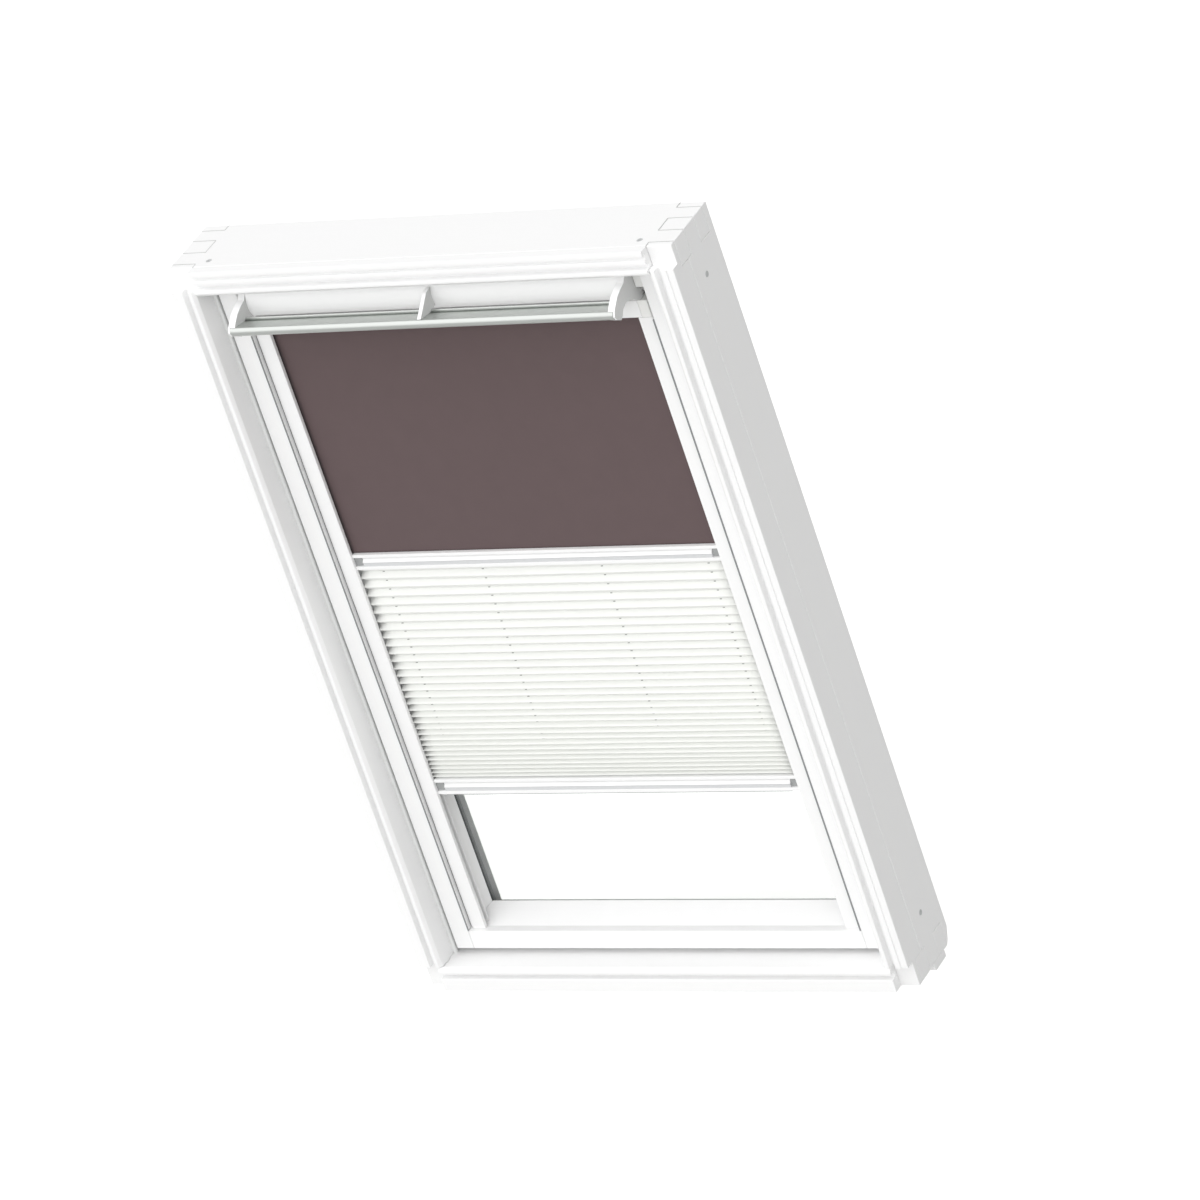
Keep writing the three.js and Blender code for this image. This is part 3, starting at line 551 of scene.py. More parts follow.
# Enamel bands: pale grey glass enamel, printed and fired on the inside of the outer pane along both
# sides, that keep the sun off the edge seal. A fine raised line runs along their inner edge.
ENAMEL_INNER = 288.4 * mm
ENAMEL_OUTER = 300 * mm
ENAMEL_FRONT = 73.3 * mm
ENAMEL_BACK = 73.9 * mm
ENAMEL_LINE_WIDTH = 1 * mm
ENAMEL_LINE_FRONT = 72.6 * mm
ENAMEL_GREY = "#E2E4E4"
ENAMEL_GREY_DARK = "#D6D8D8"

enamel = new_finish("fired_grey_glass_enamel")
enamel_place = add_node(enamel, "TexCoord")
enamel_dots = add_node(
    enamel, "TexNoise", {"Scale": 1 / SPRAY_GRAIN, "Detail": 2.0}, {"Vector": (enamel_place, "Object")}
)
skin(enamel, ENAMEL_GREY_DARK, ENAMEL_GREY, (enamel_dots, "Fac"), {"Roughness": 0.35, "IOR": 1.5})

low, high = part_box("glass_spacer")
for side, sign in SIDES:
    line_edge = ENAMEL_INNER + ENAMEL_LINE_WIDTH
    band_outline = [
        (sign * ENAMEL_OUTER, ENAMEL_BACK), (sign * ENAMEL_OUTER, ENAMEL_FRONT),
        (sign * line_edge, ENAMEL_FRONT), (sign * line_edge, ENAMEL_LINE_FRONT),
        (sign * ENAMEL_INNER, ENAMEL_LINE_FRONT), (sign * ENAMEL_INNER, ENAMEL_BACK),
    ]
    band = drawn(f"{side}_enamel_band", band_outline, low.z, high.z, UPWARD)
    hang(band, enamel, body_of["glass_spacer"])


# Glass gasket: a pale grey rubber frame between the outer pane and the cladding. Extruded, with its
# corners welded, and pressed flat by the cladding screws.
GASKET_GREY = "#D8DADA"
GASKET_GREY_WORN = "#E2E4E4"
GASKET_EDGE = 0.8 * mm
gasket_rubber = extruded_rubber("extruded_grey_gasket_rubber", GASKET_GREY, GASKET_GREY_WORN)
gasket = eased("glass_gasket", "glass_gasket_frame", GASKET_EDGE)
fix(gasket, gasket_rubber, "gasket_rubber", "glass_gasket")


# Outside cladding: four roll-formed aluminium covers, stove lacquered in pale grey, that hold the
# glass and shed the rain. Their inner edge slopes to the glass and their outer edge is folded round.
CLADDING_GREY = "#CFD2D3"
CLADDING_GREY_DARK = "#C4C7C8"
FOLD_STEPS = 5
CLADDING_SLOPE = 12 * mm
CLADDING_TOE = 3.5 * mm
CLADDING_FOLD = 3 * mm
CLADDING_SETBACK = 10 * mm
CLADDING_EDGE = 0.4 * mm
RAIN_MARK = 60 * mm

cladding_lacquer = new_finish("stove_lacquered_cladding_aluminium")
cladding_place = add_node(cladding_lacquer, "TexCoord")
cladding_grain = add_node(
    cladding_lacquer, "TexNoise", {"Scale": 1 / LACQUER_GRAIN, "Detail": 2.0},
    {"Vector": (cladding_place, "Object")},
)
rain_marks = add_node(
    cladding_lacquer, "TexNoise", {"Scale": 1 / RAIN_MARK, "Detail": 5.0, "Roughness": 0.6},
    {"Vector": (cladding_place, "Object")},
)
skin(
    cladding_lacquer, CLADDING_GREY_DARK, CLADDING_GREY, (rain_marks, "Fac"), {"IOR": 1.5},
    gloss=({"To Min": 0.42, "To Max": 0.6}, (rain_marks, "Fac")),
    relief=({"Strength": 0.25, "Distance": 0.03 * mm}, (cladding_grain, "Fac")),
)


def cladding_outline(outer, inner, front, back):
    """Points from the folded outer edge to the toe on the glass, each a place and a depth."""
    inward = 1 if inner > outer else -1
    points = [(outer, front)]
    for step in range(FOLD_STEPS + 1):
        turn = math.pi / 2 * step / FOLD_STEPS
        place = outer + inward * CLADDING_FOLD * (1 - math.cos(turn))
        points.append((place, back - CLADDING_FOLD * (1 - math.sin(turn))))
    points.append((inner - inward * CLADDING_SLOPE, back))
    points.append((inner, front + CLADDING_TOE))
    points.append((inner, front))
    return points


for side, sign in SIDES:
    low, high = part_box(f"{side}_cladding")
    outer, inner = (low.x, high.x) if sign < 0 else (high.x, low.x)
    outline = cladding_outline(outer, inner + sign * CLADDING_SETBACK, low.y, high.y)
    cover = drawn(f"{side}_cladding_cover", outline, low.z, high.z, UPWARD)
    fix(round_edges(cover, CLADDING_EDGE), cladding_lacquer, "cladding_aluminium", f"{side}_cladding")
for end in ("bottom", "top"):
    low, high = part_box(f"{end}_cladding")
    outer, inner = (low.z, high.z) if end == "bottom" else (high.z, low.z)
    outline = [(y, z) for z, y in cladding_outline(outer, inner, low.y, high.y)]
    left_end, right_end = low.x - CLADDING_SETBACK, high.x + CLADDING_SETBACK
    cover = drawn(f"{end}_cladding_cover", outline, left_end, right_end, ACROSS)
    fix(round_edges(cover, CLADDING_EDGE), cladding_lacquer, "cladding_aluminium", f"{end}_cladding")


# Ventilation flap: an extruded aluminium shell, lacquered white like the frame, that closes the air
# slot in the head. It is clipped to the end brackets and turns with them.
SHELL_EDGE = 0.5 * mm
LACQUER_WHITE = "#FAFAFA"
LACQUER_WHITE_SHADE = "#F7F7F7"

white_lacquer = lacquered_metal("white_lacquered_aluminium", LACQUER_WHITE_SHADE, LACQUER_WHITE)
flap_shell = eased("vent_flap", "vent_flap_shell", SHELL_EDGE)
fix(flap_shell, white_lacquer, "painted_wood", "vent_flap")


# Control bar: one length of extruded aluminium across the window, with a low round top, a groove and
# a bead behind it, and rounded underneath. Brushed along its length, clear anodised to a grey satin.
BAR_STEPS = 20
BAR_EDGE = 0.5 * mm
ANODISED_LIGHT = "#D4D7D4"
ANODISED_DARK = "#C6C9C6"
BRUSH_WIDTH = 0.35 * mm
BRUSH_LENGTH = 45 * mm
FLAP_AXIS = (20 * mm, 1113.5 * mm)
BAR_BROW = (-74.5 * mm, -8.4 * mm)
BAR_BROW_FRONT = (-75.6 * mm, -9.5 * mm)
BAR_BROW_BACK = (-73 * mm, -8.9 * mm)
BAR_TOP_MIDDLE = (-60 * mm, -9.6 * mm)
BAR_TOP_REAR = (-46.3 * mm, -14.6 * mm)
BAR_GROOVE_FRONT = (-46 * mm, -17 * mm)
BAR_GROOVE_REAR = (-44.6 * mm, -17 * mm)
BAR_BEAD = (-43.1 * mm, -12.2 * mm)
BEAD_RADIUS = 1.5 * mm
BEAD_STEPS = 10
BAR_REAR_UNDERSIDE = (-41.6 * mm, -18.2 * mm)
BAR_KEEL = (-60 * mm, -24 * mm)
BAR_FOOT = (-75 * mm, -20.7 * mm)
BAR_NOSE = (-80.5 * mm, -14.5 * mm)


def brushed_anodised_aluminium(name, brush_axis):
    """Brushed, then anodised: a satin metal whose highlight runs along in fine lines."""
    finish = new_finish(name)
    place = add_node(finish, "TexCoord")
    brush_scale = [1 / BRUSH_WIDTH] * 3
    brush_scale[brush_axis] = 1 / BRUSH_LENGTH
    along = add_node(finish, "Mapping", {"Scale": brush_scale}, {"Vector": (place, "Object")})
    strokes = add_node(
        finish, "TexNoise", {"Scale": 1.0, "Detail": 2.0}, {"Vector": (along, "Vector")}
    )
    return skin(
        finish, ANODISED_DARK, ANODISED_LIGHT, (strokes, "Fac"), {"Metallic": 1.0},
        gloss=({"To Min": 0.34, "To Max": 0.46}, (strokes, "Fac")),
        relief=({"Strength": 0.15, "Distance": 0.01 * mm}, (strokes, "Fac")),
    )


def bend(start, control, end):
    """Points of a smooth curve from start to end, drawn towards the control point."""
    points = []
    for step in range(BAR_STEPS + 1):
        t = step / BAR_STEPS
        points.append(tuple(
            (1 - t) ** 2 * s + 2 * t * (1 - t) * c + t ** 2 * e for s, c, e in zip(start, control, end)
        ))
    return points


axis_y, axis_z = FLAP_AXIS
bead_y, bead_z = BAR_BEAD
bar_outline = [*bend(BAR_BROW_BACK, BAR_TOP_MIDDLE, BAR_TOP_REAR), BAR_GROOVE_FRONT, BAR_GROOVE_REAR]
for step in range(BEAD_STEPS + 1):
    turn = math.pi * step / BEAD_STEPS
    bar_outline.append((bead_y - BEAD_RADIUS * math.cos(turn), bead_z + BEAD_RADIUS * math.sin(turn)))
bar_outline += bend(BAR_REAR_UNDERSIDE, BAR_KEEL, BAR_FOOT)
bar_outline += bend(BAR_FOOT, BAR_NOSE, BAR_BROW_FRONT)[1:]
bar_outline += bend(BAR_BROW_FRONT, BAR_BROW, BAR_BROW_BACK)[1:-1]
bar_outline = [(axis_y + y, axis_z + z) for y, z in bar_outline]
anodised = brushed_anodised_aluminium("brushed_anodised_aluminium_crosswise", ACROSS)
low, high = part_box("control_bar")
control_bar = round_edges(drawn("control_bar_extrusion", bar_outline, low.x, high.x, ACROSS), BAR_EDGE)
fix(control_bar, anodised, "anodised_aluminium", "control_bar")


# Flap brackets: die-cast aluminium cheeks at both ends and one fin in the middle that join bar and
# flap. Tumbled smooth, so their edges are soft, and lacquered white; their flat sides are painted
# grey instead, painted shade that stands for the shadow those sides fall in.
CAST_EDGE = 0.7 * mm
CAST_WELD = 0.15 * mm
CHEEK_PAINTED_SHADE_LIGHT = "#D6D7D6"
CHEEK_PAINTED_SHADE_DARK = "#CFD0CF"
SHADED_SIDE_SHARE = 0.9

cheek_side_painted_shade = lacquered_metal("grey_painted_shade_on_cheek_sides", CHEEK_PAINTED_SHADE_DARK, CHEEK_PAINTED_SHADE_LIGHT)
for place in ("left", "right", "middle"):
    node = f"{place}_flap_bracket"
    bracket = eased(node, f"{node}_casting", CAST_EDGE, CAST_WELD, clamp=True)
    fix(bracket, white_lacquer, "white_aluminium", node)
    # Faces that look sideways take the grey, painted shade; the rims stay white
    bracket.data.materials.append(cheek_side_painted_shade)
    for facet in bracket.data.polygons:
        facet.material_index = 1 if abs(facet.normal.x) > SHADED_SIDE_SHARE else 0


# Flap bearings, headbox caps and roller plugs: moulded white acetal, pressed or screwed in place. A
# fine spark texture from the mould makes them a little more matt than the metal beside them.
PLASTIC_WHITE = "#F2F2F0"
PLASTIC_WHITE_SHADE = "#EDEDEA"
SPARK_GRAIN = 0.5 * mm
MOULD_FLOW = 15 * mm
MOULDED_EDGE = 0.6 * mm


def moulded_plastic(name, dark, light):
    """Injection-moulded plastic with a spark-eroded skin: even colour and a fine matt grain."""
    finish = new_finish(name)
    place = add_node(finish, "TexCoord")
    spark = add_node(
        finish, "TexNoise", {"Scale": 1 / SPARK_GRAIN, "Detail": 2.0}, {"Vector": (place, "Object")}
    )
    flow = add_node(
        finish, "TexNoise", {"Scale": 1 / MOULD_FLOW, "Detail": 2.0}, {"Vector": (place, "Object")}
    )
    return skin(
        finish, dark, light, (flow, "Fac"), {"IOR": 1.48},
        gloss=({"To Min": 0.42, "To Max": 0.55}, (spark, "Fac")),
        relief=({"Strength": 0.35, "Distance": 0.02 * mm}, (spark, "Fac")),
    )


white_acetal = moulded_plastic("moulded_white_acetal", PLASTIC_WHITE_SHADE, PLASTIC_WHITE)
for side in ("left", "right"):
    for node in (f"{side}_flap_bearing", f"{side}_headbox_cap", f"{side}_roller_plug"):
        fix(eased(node, f"{node}_moulding", MOULDED_EDGE), white_acetal, "bearing_plastic", node)


# Side channels and headbox of the blind: thin extruded aluminium, powder coated white, screwed to
# the sash's ledge. The channels have a set-back flange against the stile and guide both bars.
CHANNEL_EDGE = 0.45 * mm
CHANNEL_GAP = 1.2 * mm
for node in ("left_channel", "right_channel", "headbox"):
    extrusion = eased(node, f"{node}_extrusion", CHANNEL_EDGE)
    reach = max(abs(corner.co.x) for corner in extrusion.data.vertices)
    for corner in extrusion.data.vertices:
        if node != "headbox" and abs(corner.co.x) > reach - WELD:
            corner.co.x -= math.copysign(CHANNEL_GAP, corner.co.x)
    fix(extrusion, white_lacquer, "white_aluminium", node)


# Channel tapes: a length of dark grey tape fills the gap between each channel and its stile. Its dark
# colour is painted shadow for the shade in that gap, and it shows from the side as a fine dark line.
# Cut square and a little rounded.
TAPE_FRONT = 17 * mm
SHADOW_TAPE_DARK = "#5A5B5C"
SHADOW_TAPE_LIGHT = "#646566"
# The tape's dark grey is painted shadow for the gap
gap_shadow_tape = extruded_rubber("dark_painted_shadow_gap_tape", SHADOW_TAPE_DARK, SHADOW_TAPE_LIGHT)
for side, sign in SIDES:
    low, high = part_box(f"{side}_channel")
    wall = sign * max(abs(low.x), abs(high.x))
    tape_outline = [
        (wall - sign * CHANNEL_GAP, high.y), (wall - sign * CHANNEL_GAP, TAPE_FRONT),
        (wall + sign * CHANNEL_EDGE, TAPE_FRONT), (wall + sign * CHANNEL_EDGE, high.y),
    ]
    tape = round_edges(drawn(f"{side}_channel_shadow_tape", tape_outline, low.z, high.z, UPWARD), CHANNEL_EDGE)
    hang(tape, gap_shadow_tape, body_of[f"{side}_channel"])


# Stile lips: a thin grey strip with a rubber finish laid over the inner edge of each stile beside the
# channel. Its grey is painted shadow for the shade line between stile and channel, and it shows as a
# fine line along the blind. Its short root reaches down into the gap.
LIP_INNER = 312.5 * mm
LIP_OUTER = 314.2 * mm
LIP_ROOT = 313.2 * mm
LIP_PROUD = 1.3 * mm
LIP_ROOT_DEPTH = 0.8 * mm
STILE_LIP_SHADOW_GREY = "#909294"
STILE_LIP_SHADOW_DARK = "#86888A"
stile_lip_painted_shadow = extruded_rubber(
    "grey_painted_shadow_stile_lip", STILE_LIP_SHADOW_DARK, STILE_LIP_SHADOW_GREY
)
# The lip's grey is painted shadow along the stile's inner edge
for side, sign in SIDES:
    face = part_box(f"{side}_stile")[0].y
    low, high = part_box(f"{side}_channel")
    lip_outline = [
        (sign * LIP_INNER, face - LIP_PROUD), (sign * LIP_OUTER, face),
        (sign * LIP_ROOT, face + LIP_ROOT_DEPTH), (sign * LIP_INNER, face + LIP_ROOT_DEPTH),
    ]
    stile_lip = drawn(f"{side}_stile_lip", lip_outline, low.z, high.z, UPWARD)
    hang(stile_lip, stile_lip_painted_shadow, body_of[f"{side}_stile"])


# Roller and wound cloth: an aluminium tube with the rest of the dark cloth wound on it in close
# turns. Polyester, woven and coated on the back so that no light passes, then slit to width.
CLOTH_BROWN = "#635354"
CLOTH_BROWN_DARK = "#5D4E4F"
DRAWN_THREAD = 1.1 * mm
SLUB = 30 * mm
TUBE_EDGE = 0.2 * mm
ROLL_INNER = 8.3 * mm
LARGEST_CLOTH_SHARE = 0.8
WEAVE_SHARE = 0.45
WOUND_CLOTH = 0.6 * mm
WOUND_TURNS = 4
TURN_STEPS = 40


def blackout_polyester(name):
    """Plain-woven polyester with a matt coated back: dull taupe with a fine even weave."""
    # The real threads lie 0.55 mm apart, too fine for the render, so they are drawn at twice that
    finish = new_finish(name)
    place = add_node(finish, "TexCoord")
    bands = {"wave_type": "BANDS", "Scale": 2 / DRAWN_THREAD / math.tau, "Distortion": 0.4}
    warp, weft = [
        add_node(finish, "TexWave", {**bands, "bands_direction": run}, {"Vector": (place, "Object")})
        for run in "XZ"
    ]
    weave = add_node(
        finish, "Math", {"operation": "MULTIPLY"}, {0: (warp, "Fac"), 1: (weft, "Fac")}
    )
    slub = add_node(
        finish, "TexNoise", {"Scale": 1 / SLUB, "Detail": 6.0, "Roughness": 0.65},
        {"Vector": (place, "Object")},
    )
    mottle = add_node(
        finish, "Math", {"operation": "MULTIPLY_ADD", 1: WEAVE_SHARE},
        {0: (weave, "Value"), 2: (slub, "Fac")},
    )
    return skin(
        finish, CLOTH_BROWN_DARK, CLOTH_BROWN, (mottle, "Value"),
        {"Roughness": 0.88, "IOR": 1.45, "Sheen Weight": 0.12, "Sheen Roughness": 0.5},
        relief=({"Strength": 0.5, "Distance": 0.12 * mm}, (weave, "Value")),
    )


tube = eased("roller_tube", "roller_tube_extrusion", TUBE_EDGE)
fix(tube, anodised, "anodised_aluminium", "roller_tube")
brown_cloth = blackout_polyester("woven_blackout_polyester")
low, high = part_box("cloth_roll")
roll_centre = (low + high) / 2
roll_outer = (high.z - low.z) / 2
turn_pitch = (roll_outer - WOUND_CLOTH - ROLL_INNER) / WOUND_TURNS
outer_turns = []
inner_turns = []
for step in range(WOUND_TURNS * TURN_STEPS + 1):
    turn = math.tau * step / TURN_STEPS
    radius = ROLL_INNER + turn_pitch * step / TURN_STEPS
    across, up = math.cos(turn), math.sin(turn)
    inner_turns.append((roll_centre.y + radius * across, roll_centre.z + radius * up))
    radius += min(WOUND_CLOTH, turn_pitch * LARGEST_CLOTH_SHARE)
    outer_turns.append((roll_centre.y + radius * across, roll_centre.z + radius * up))
wound_cloth = drawn("wound_dark_cloth", inner_turns + outer_turns[::-1], low.x, high.x, ACROSS)
fix(wound_cloth, brown_cloth, "dark_cloth", "cloth_roll")


# Dark cloth: the part that hangs from the roller to the upper bar, kept taut by the roller's spring.
# Its long edges run inside the channels and its foot is clamped in a slot of the bar.
CLOTH_THICK = 0.5 * mm
CLOTH_COLUMNS = 60
CLOTH_ROWS = 48
CLOTH_WAVE = 0.35 * mm
BROAD_RIPPLE = 21
RIPPLE_BEND = 9
FINE_RIPPLE = 47
RIPPLE_SLANT = 5
BROAD_SHARE = 0.6
FINE_SHARE = 0.4
CLOTH_FOOT = 5 * mm

low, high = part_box("dark_cloth")
cloth_foot = low.z - CLOTH_FOOT
form = bmesh.new()
grid = []
for row in range(CLOTH_ROWS + 1):
    z = high.z + (cloth_foot - high.z) * row / CLOTH_ROWS
    line = []
    for column in range(CLOTH_COLUMNS + 1):
        x = low.x + (high.x - low.x) * column / CLOTH_COLUMNS
        loose = math.sin(math.pi * column / CLOTH_COLUMNS) * math.sin(math.pi * row / CLOTH_ROWS)
        broad = math.sin(x * BROAD_RIPPLE + math.sin(z * RIPPLE_BEND))
        fine = math.sin(x * FINE_RIPPLE + z * RIPPLE_SLANT)
        ripple = broad * BROAD_SHARE + fine * FINE_SHARE
        line.append(form.verts.new((x, (low.y + high.y) / 2 + CLOTH_WAVE * loose * ripple, z)))
    grid.append(line)
for upper, lower in zip(grid, grid[1:]):
    for i in range(CLOTH_COLUMNS):
        face = form.faces.new((upper[i], lower[i], lower[i + 1], upper[i + 1]))
        face.smooth = True
hanging_cloth = new_piece("hanging_dark_cloth", form)
thickness = hanging_cloth.modifiers.new("cloth_thickness", "SOLIDIFY")
thickness.thickness = CLOTH_THICK
thickness.offset = 0
hanging_cloth.data.materials.append(brown_cloth)
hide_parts("dark_cloth")
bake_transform(hanging_cloth)


# Blind bars: white powder-coated aluminium. Each has a finger recess to the room with a sloped grip
# rib in it; the ends of the recess are closed by the tongue of a grey nylon glide.
BAR_DEPTH = 8.7 * mm
RECESS_BACK = 5 * mm
FLANGE_LOW = 5 * mm
FLANGE_HIGH = 4.8 * mm
RIB_THROAT_DEPTH = 4.6 * mm
RIB_THROAT = 8.75 * mm
RIB_TOP = 15.9 * mm
RIB_RIDGE = (0.2 * mm, 11.2 * mm)
RIB_TOP_FRONT = (4.3 * mm, RIB_TOP)
RIB_CORNERS = (
    (RIB_THROAT_DEPTH, RIB_THROAT), RIB_RIDGE, RIB_TOP_FRONT,
    (RECESS_BACK, RIB_TOP), (RECESS_BACK, RIB_THROAT),
)
RIB_END = 12.8 * mm
STRIP_FRONT = 1 * mm
STRIP_TOP = 10.6 * mm
STRIP_TOP_REAR = 8.6 * mm
STRIP_CORNERS = (
    (STRIP_FRONT, FLANGE_LOW), (STRIP_FRONT, STRIP_TOP),
    (RIB_THROAT_DEPTH, STRIP_TOP_REAR), (RIB_THROAT_DEPTH, FLANGE_LOW),
)
GRIP_STRIP_SHADE_GREY = "#D9DADB"
GRIP_STRIP_SHADE_DARK = "#D0D1D3"
FOOT_LIP_SHADOW_GREY = "#ABADAE"
FOOT_LIP_SHADOW_DARK = "#9EA0A1"
LIP_FROM = 0.8 * mm
LIP_WIDTH = 2.6 * mm
LIP_DROP = 1.5 * mm
SLOT_WIDTH = 1.5 * mm
SLOT_DEPTH = 6 * mm
NYLON_GREY = "#A9ABAB"
NYLON_GREY_DARK = "#9C9E9E"

grey_nylon = moulded_plastic("moulded_grey_nylon", NYLON_GREY_DARK, NYLON_GREY)
grip_strip_painted_shade = extruded_rubber("pale_grey_painted_shade_strip", GRIP_STRIP_SHADE_DARK, GRIP_STRIP_SHADE_GREY)
foot_lip_painted_shadow = extruded_rubber("grey_painted_shadow_foot_lip", FOOT_LIP_SHADOW_DARK, FOOT_LIP_SHADOW_GREY)


def bar_trim(name, outline, level, finish):
    """A length that runs with the grip rib of one bar, pressed into it."""
    trim = drawn(name, outline, low.x + RIB_END, high.x - RIB_END, ACROSS)
    hang(round_edges(trim, CHANNEL_EDGE), finish, body_of[f"{level}_bar"])


cloth_middle = (low.y + high.y) / 2
for level in ("upper", "lower"):
    low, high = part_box(f"{level}_bar")
    front, foot = low.y, low.z
    outline = [
        (front, foot), (front, foot + FLANGE_LOW), (front + RECESS_BACK, foot + FLANGE_LOW),
        (front + RECESS_BACK, high.z - FLANGE_HIGH), (front, high.z - FLANGE_HIGH), (front, high.z),
    ]
    if level == "upper":
        outline += [
            (cloth_middle - SLOT_WIDTH / 2, high.z), (cloth_middle - SLOT_WIDTH / 2, high.z - SLOT_DEPTH),
            (cloth_middle + SLOT_WIDTH / 2, high.z - SLOT_DEPTH), (cloth_middle + SLOT_WIDTH / 2, high.z),
        ]
    outline += [(high.y, high.z), (high.y, foot)]
    bar = round_edges(drawn(f"{level}_bar_extrusion", outline, low.x, high.x, ACROSS), CHANNEL_EDGE)
    fix(bar, white_lacquer, "white_aluminium", f"{level}_bar")
    rib_outline = [(front + y, foot + z) for y, z in RIB_CORNERS]
    bar_trim(f"{level}_bar_grip_rib", rib_outline, level, white_lacquer)
    # The pale grey strip under the rib is painted shade that stands for the shadow in the recess
    strip_outline = [(front + y, foot + z) for y, z in STRIP_CORNERS]
    bar_trim(f"{level}_bar_shade_strip", strip_outline, level, grip_strip_painted_shade)
    # Under the lower bar a grey lip is painted shadow for the shade line along the bar's foot
    if level == "lower":
        lip_outline = [
            (front + LIP_FROM, foot), (front + LIP_FROM, foot - LIP_DROP),
            (front + LIP_FROM + LIP_WIDTH, foot - LIP_DROP), (front + LIP_FROM + LIP_WIDTH, foot),
        ]
        bar_trim("lower_bar_foot_lip", lip_outline, level, foot_lip_painted_shadow)
    for side in ("left", "right"):
        node = f"{side}_{level}_glide"
        fix(eased(node, f"{node}_moulding", MOULDED_EDGE), grey_nylon, "glide_plastic", node)


# Pleated cloth: thin polyester voile with permanent pressed folds, glued to the bars at top and
# bottom. In four columns, where the tension cords run, small grey patches stand for the cords and,
# as painted shade, for the dark of their punched holes; no hole is cut. It closes up towards its foot.
PLEAT_SLANT = 10 * mm
PLEAT_PITCH = 11 * mm
PLEAT_SPREAD_SHARES = (1.33, -0.45, -0.31)
LAST_SLANT_DROP = 4.3 * mm
PLEAT_THICK = 0.3 * mm
FOLD_SHARE = 0.05
PLEAT_CLOTH_PLACE = 20.6 * mm
CORD_COLUMNS = (-251.5 * mm, -93 * mm, 94.5 * mm, 260 * mm)
HOLE_WIDTH = 3.4 * mm
HOLE_ROWS_SHARES = (0.01, 0.16)
MIDDLE_ROWS_SHARES = (0.3, 0.5, 0.75)
PLEAT_COLUMNS = 28
FOLD_DRIFT = 0.25 * mm
DRIFT_WAVE = 11
DRIFT_STEP = 0.37
DRIFT_DEPTH_SHARE = 0.4
VOILE_LIGHT = "#F4F5F2"
VOILE_SHADE = "#EEEFEC"
VOILE_THREAD = 1.0 * mm
VOILE_THREAD_LENGTH = 14 * mm
CORD_AND_HOLE_SHADE_GREY = "#9C9E9B"
CORD_AND_HOLE_SHADE_LIGHT = "#ABADA9"
CORD_TWIST = 2 * mm

# Pressed polyester voile: soft white, a little sheen, and a crosswise thread
voile = new_finish("pressed_polyester_voile")
voile_place = add_node(voile, "TexCoord")
voile_scale = add_node(
    voile, "Mapping",
    {"Scale": (1 / VOILE_THREAD_LENGTH, 1 / VOILE_THREAD, 1 / VOILE_THREAD)},
    {"Vector": (voile_place, "Object")},
)
voile_threads = add_node(
    voile, "TexNoise", {"Scale": 1.0, "Detail": 3.0}, {"Vector": (voile_scale, "Vector")}
)
skin(
    voile, VOILE_SHADE, VOILE_LIGHT, (voile_threads, "Fac"),
    {"Roughness": 0.82, "IOR": 1.45, "Sheen Weight": 0.15, "Sheen Roughness": 0.4},
    relief=({"Strength": 0.35, "Distance": 0.08 * mm}, (voile_threads, "Fac")),
)

# Grey, matt, with the twist of its strands: the cord where it crosses a hole, and painted shade
# for the hole around it, on one patch of cloth
cord_and_hole_shade = new_finish("grey_cord_and_painted_hole_shade")
cord_place = add_node(cord_and_hole_shade, "TexCoord")
cord_twist = add_node(
    cord_and_hole_shade, "TexWave", {"Scale": 1 / CORD_TWIST, "Distortion": 1.0}, {"Vector": (cord_place, "Object")}
)
skin(cord_and_hole_shade, CORD_AND_HOLE_SHADE_GREY, CORD_AND_HOLE_SHADE_LIGHT, (cord_twist, "Fac"), {"Roughness": 0.8})

low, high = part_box("pleated_cloth")
pleated_height = high.z - low.z - LAST_SLANT_DROP
pleat_count = round(pleated_height / PLEAT_PITCH)
folds = []
fold_height = high.z
for pleat in range(pleat_count):
    down = pleat / (pleat_count - 1)
    spread = sum(share * down ** power for power, share in enumerate(PLEAT_SPREAD_SHARES))
    pitch = pleated_height / pleat_count * spread
    reach = math.sqrt(PLEAT_SLANT ** 2 - (pitch / 2) ** 2) / 2
    folds.append((PLEAT_CLOTH_PLACE - reach, fold_height))
    folds.append((PLEAT_CLOTH_PLACE + reach, fold_height - pitch / 2))
    fold_height -= pitch
folds.append((PLEAT_CLOTH_PLACE - reach, low.z + LAST_SLANT_DROP))
folds.append((PLEAT_CLOTH_PLACE + reach, low.z))

# Rows of points down the cloth: each slant is divided at its soft folds and at the cord holes
slant_shares = [*HOLE_ROWS_SHARES, *MIDDLE_ROWS_SHARES, 1 - FOLD_SHARE]
rows = [(folds[0], False)]
for slant, (top, bottom) in enumerate(zip(folds, folds[1:])):
    for i, share in enumerate(slant_shares):
        point = tuple(a + (b - a) * share for a, b in zip(top, bottom))
        rows.append((point, slant % 2 == 1 and i == 0))
rows.append((folds[-1], False))

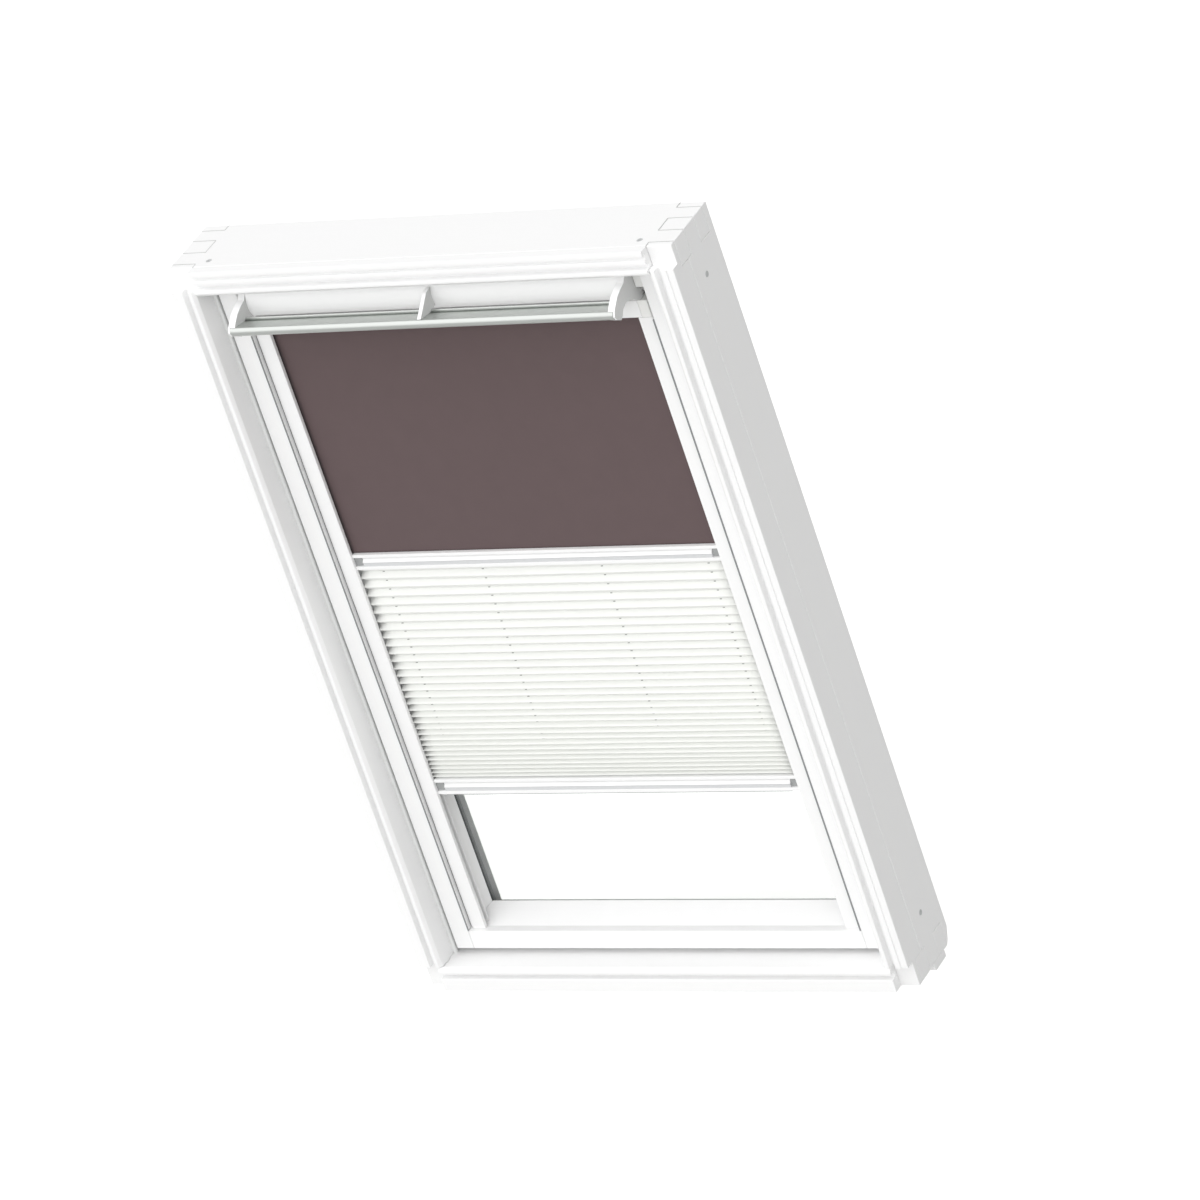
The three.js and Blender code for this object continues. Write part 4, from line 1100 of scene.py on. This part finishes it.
column_places = [low.x + (high.x - low.x) * i / PLEAT_COLUMNS for i in range(PLEAT_COLUMNS + 1)]
hole_edges = [cord + sign * HOLE_WIDTH / 2 for cord in CORD_COLUMNS for sign in (-1, 1)]
clear = [x for x in column_places if all(abs(x - cord) > HOLE_WIDTH for cord in CORD_COLUMNS)]
column_places = sorted(clear + hole_edges)
form = bmesh.new()
grid = []
for row, ((y, z), _) in enumerate(rows):
    line = []
    for x in column_places:
        swell = math.sin(math.pi * (x - low.x) / (high.x - low.x))
        drift = FOLD_DRIFT * math.sin(x * DRIFT_WAVE + row * DRIFT_STEP) * swell
        between = 0 < row < len(rows) - 1
        line.append(form.verts.new((x, y + drift * DRIFT_DEPTH_SHARE, z + drift * between)))
    grid.append(line)
for row, (upper, lower) in enumerate(zip(grid, grid[1:])):
    for i, (x0, x1) in enumerate(zip(column_places, column_places[1:])):
        at_cord = any(x0 < cord < x1 and x1 - x0 < 2 * HOLE_WIDTH for cord in CORD_COLUMNS)
        face = form.faces.new((upper[i], lower[i], lower[i + 1], upper[i + 1]))
        face.smooth = True
        # Cells at the cord columns below each back fold take the grey: cord and painted hole shade
        face.material_index = 1 if rows[row][1] and at_cord else 0
pleated = new_piece("pleated_pale_cloth", form)
thickness = pleated.modifiers.new("cloth_thickness", "SOLIDIFY")
thickness.thickness = PLEAT_THICK
thickness.offset = 0
pleated.data.materials.append(voile)
pleated.data.materials.append(cord_and_hole_shade)
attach(pleated, "upper_blind_bar")
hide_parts("pleated_cloth")
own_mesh(pleated)


# Studio: a plain pale floor a little below the window, and one broad soft light from the front, the
# left and above, so that the outer right side falls into an even light grey.
FLOOR_DROP = 0.15
FLOOR_SIZE = 60
FLOOR_COLOUR = "#D2D2D1"
FLOOR_GLOW = 0.65
SKY_STRENGTH = 0.30
KEY_FROM = Vector((-0.20, -0.61, 0.77))
KEY_STRENGTH = 3.12
KEY_ANGLE = math.radians(128)

form = bmesh.new()
corners = [(-1, -1), (1, -1), (1, 1), (-1, 1)]
floor_height = cad_low.z - FLOOR_DROP
half = FLOOR_SIZE / 2
form.faces.new([form.verts.new((x * half, y * half, floor_height)) for x, y in corners])
floor = new_piece("studio_floor", form)
floor_finish = new_finish("matt_white_floor")
seen_by = add_node(floor_finish, "LightPath")
floor_diffuse = add_node(floor_finish, "BsdfDiffuse", {"Color": linear(FLOOR_COLOUR)})
floor_glow = add_node(floor_finish, "Emission", {"Color": (1, 1, 1, 1), "Strength": FLOOR_GLOW})
seen_at_all = add_node(
    floor_finish, "Math", {"operation": "MAXIMUM"},
    {0: (seen_by, "Is Camera Ray"), 1: (seen_by, "Is Transmission Ray")},
)
floor_lifted = add_node(
    floor_finish, "AddShader", {}, {0: (floor_diffuse, "BSDF"), 1: (floor_glow, "Emission")}
)
floor_surface = add_node(
    floor_finish, "MixShader", {},
    {0: (seen_at_all, "Value"), 1: (floor_diffuse, "BSDF"), 2: (floor_lifted, "Shader")},
)
add_node(floor_finish, "OutputMaterial", {}, {"Surface": (floor_surface, "Shader")})
floor.data.materials.append(floor_finish)

world = bpy.data.worlds.new("studio")
world.use_nodes = True
world.node_tree.nodes.clear()
bpy.context.scene.world = world
seen_by = add_node(world, "LightPath")
seen_at_all = add_node(
    world, "Math", {"operation": "MAXIMUM"},
    {0: (seen_by, "Is Camera Ray"), 1: (seen_by, "Is Transmission Ray")},
)
sky = add_node(world, "Background", {"Color": (1, 1, 1, 1), "Strength": SKY_STRENGTH})
backdrop = add_node(world, "Background", {"Color": (1, 1, 1, 1), "Strength": 1.0})
surround = add_node(
    world, "MixShader", {},
    {0: (seen_at_all, "Value"), 1: (sky, "Background"), 2: (backdrop, "Background")},
)
add_node(world, "OutputWorld", {}, {"Surface": (surround, "Shader")})

key_data = bpy.data.lights.new("broad_key_light", "SUN")
key_data.energy = KEY_STRENGTH
key_data.angle = KEY_ANGLE
key_light = bpy.data.objects.new("broad_key_light", key_data)
key_light.rotation_mode = "QUATERNION"
key_light.rotation_quaternion = KEY_FROM.to_track_quat("Z", "Y")
bpy.context.scene.collection.objects.link(key_light)


# Camera: a long lens from the front right and above, rolled to the left as in the photograph, as
# the window is drawn lying back on a roof slope.
CAMERA_AZIMUTH = math.radians(34.8727)
CAMERA_ELEVATION = math.radians(27.5712)
CAMERA_ROLL = math.radians(-19.2196)
CAMERA_DISTANCE = 11416.43 * mm
CAMERA_TARGET = Vector((110.184, -30, 644.714)) * mm
FOCAL_PIXELS = 8508.683
PICTURE_PIXELS = 1200
SENSOR_WIDTH = 36
CAMERA_REACH = 100

backward = Vector((
    math.sin(CAMERA_AZIMUTH) * math.cos(CAMERA_ELEVATION),
    -math.cos(CAMERA_AZIMUTH) * math.cos(CAMERA_ELEVATION),
    math.sin(CAMERA_ELEVATION),
))
level_right = Vector((0, 0, 1)).cross(backward).normalized()
level_up = backward.cross(level_right)
camera_right = level_right * math.cos(CAMERA_ROLL) + level_up * math.sin(CAMERA_ROLL)
camera_up = level_up * math.cos(CAMERA_ROLL) - level_right * math.sin(CAMERA_ROLL)
camera_data = bpy.data.cameras.new("studio_camera")
camera_data.sensor_width = SENSOR_WIDTH
camera_data.lens = FOCAL_PIXELS / PICTURE_PIXELS * SENSOR_WIDTH
camera_data.clip_end = CAMERA_REACH
camera = bpy.data.objects.new("studio_camera", camera_data)
bpy.context.scene.collection.objects.link(camera)
camera_place = CAMERA_TARGET + backward * CAMERA_DISTANCE
camera.matrix_world = Matrix.Translation(camera_place) @ Matrix(
    (camera_right, camera_up, backward)
).transposed().to_4x4()
bpy.context.scene.camera = camera
bpy.context.scene.view_settings.view_transform = "Standard"
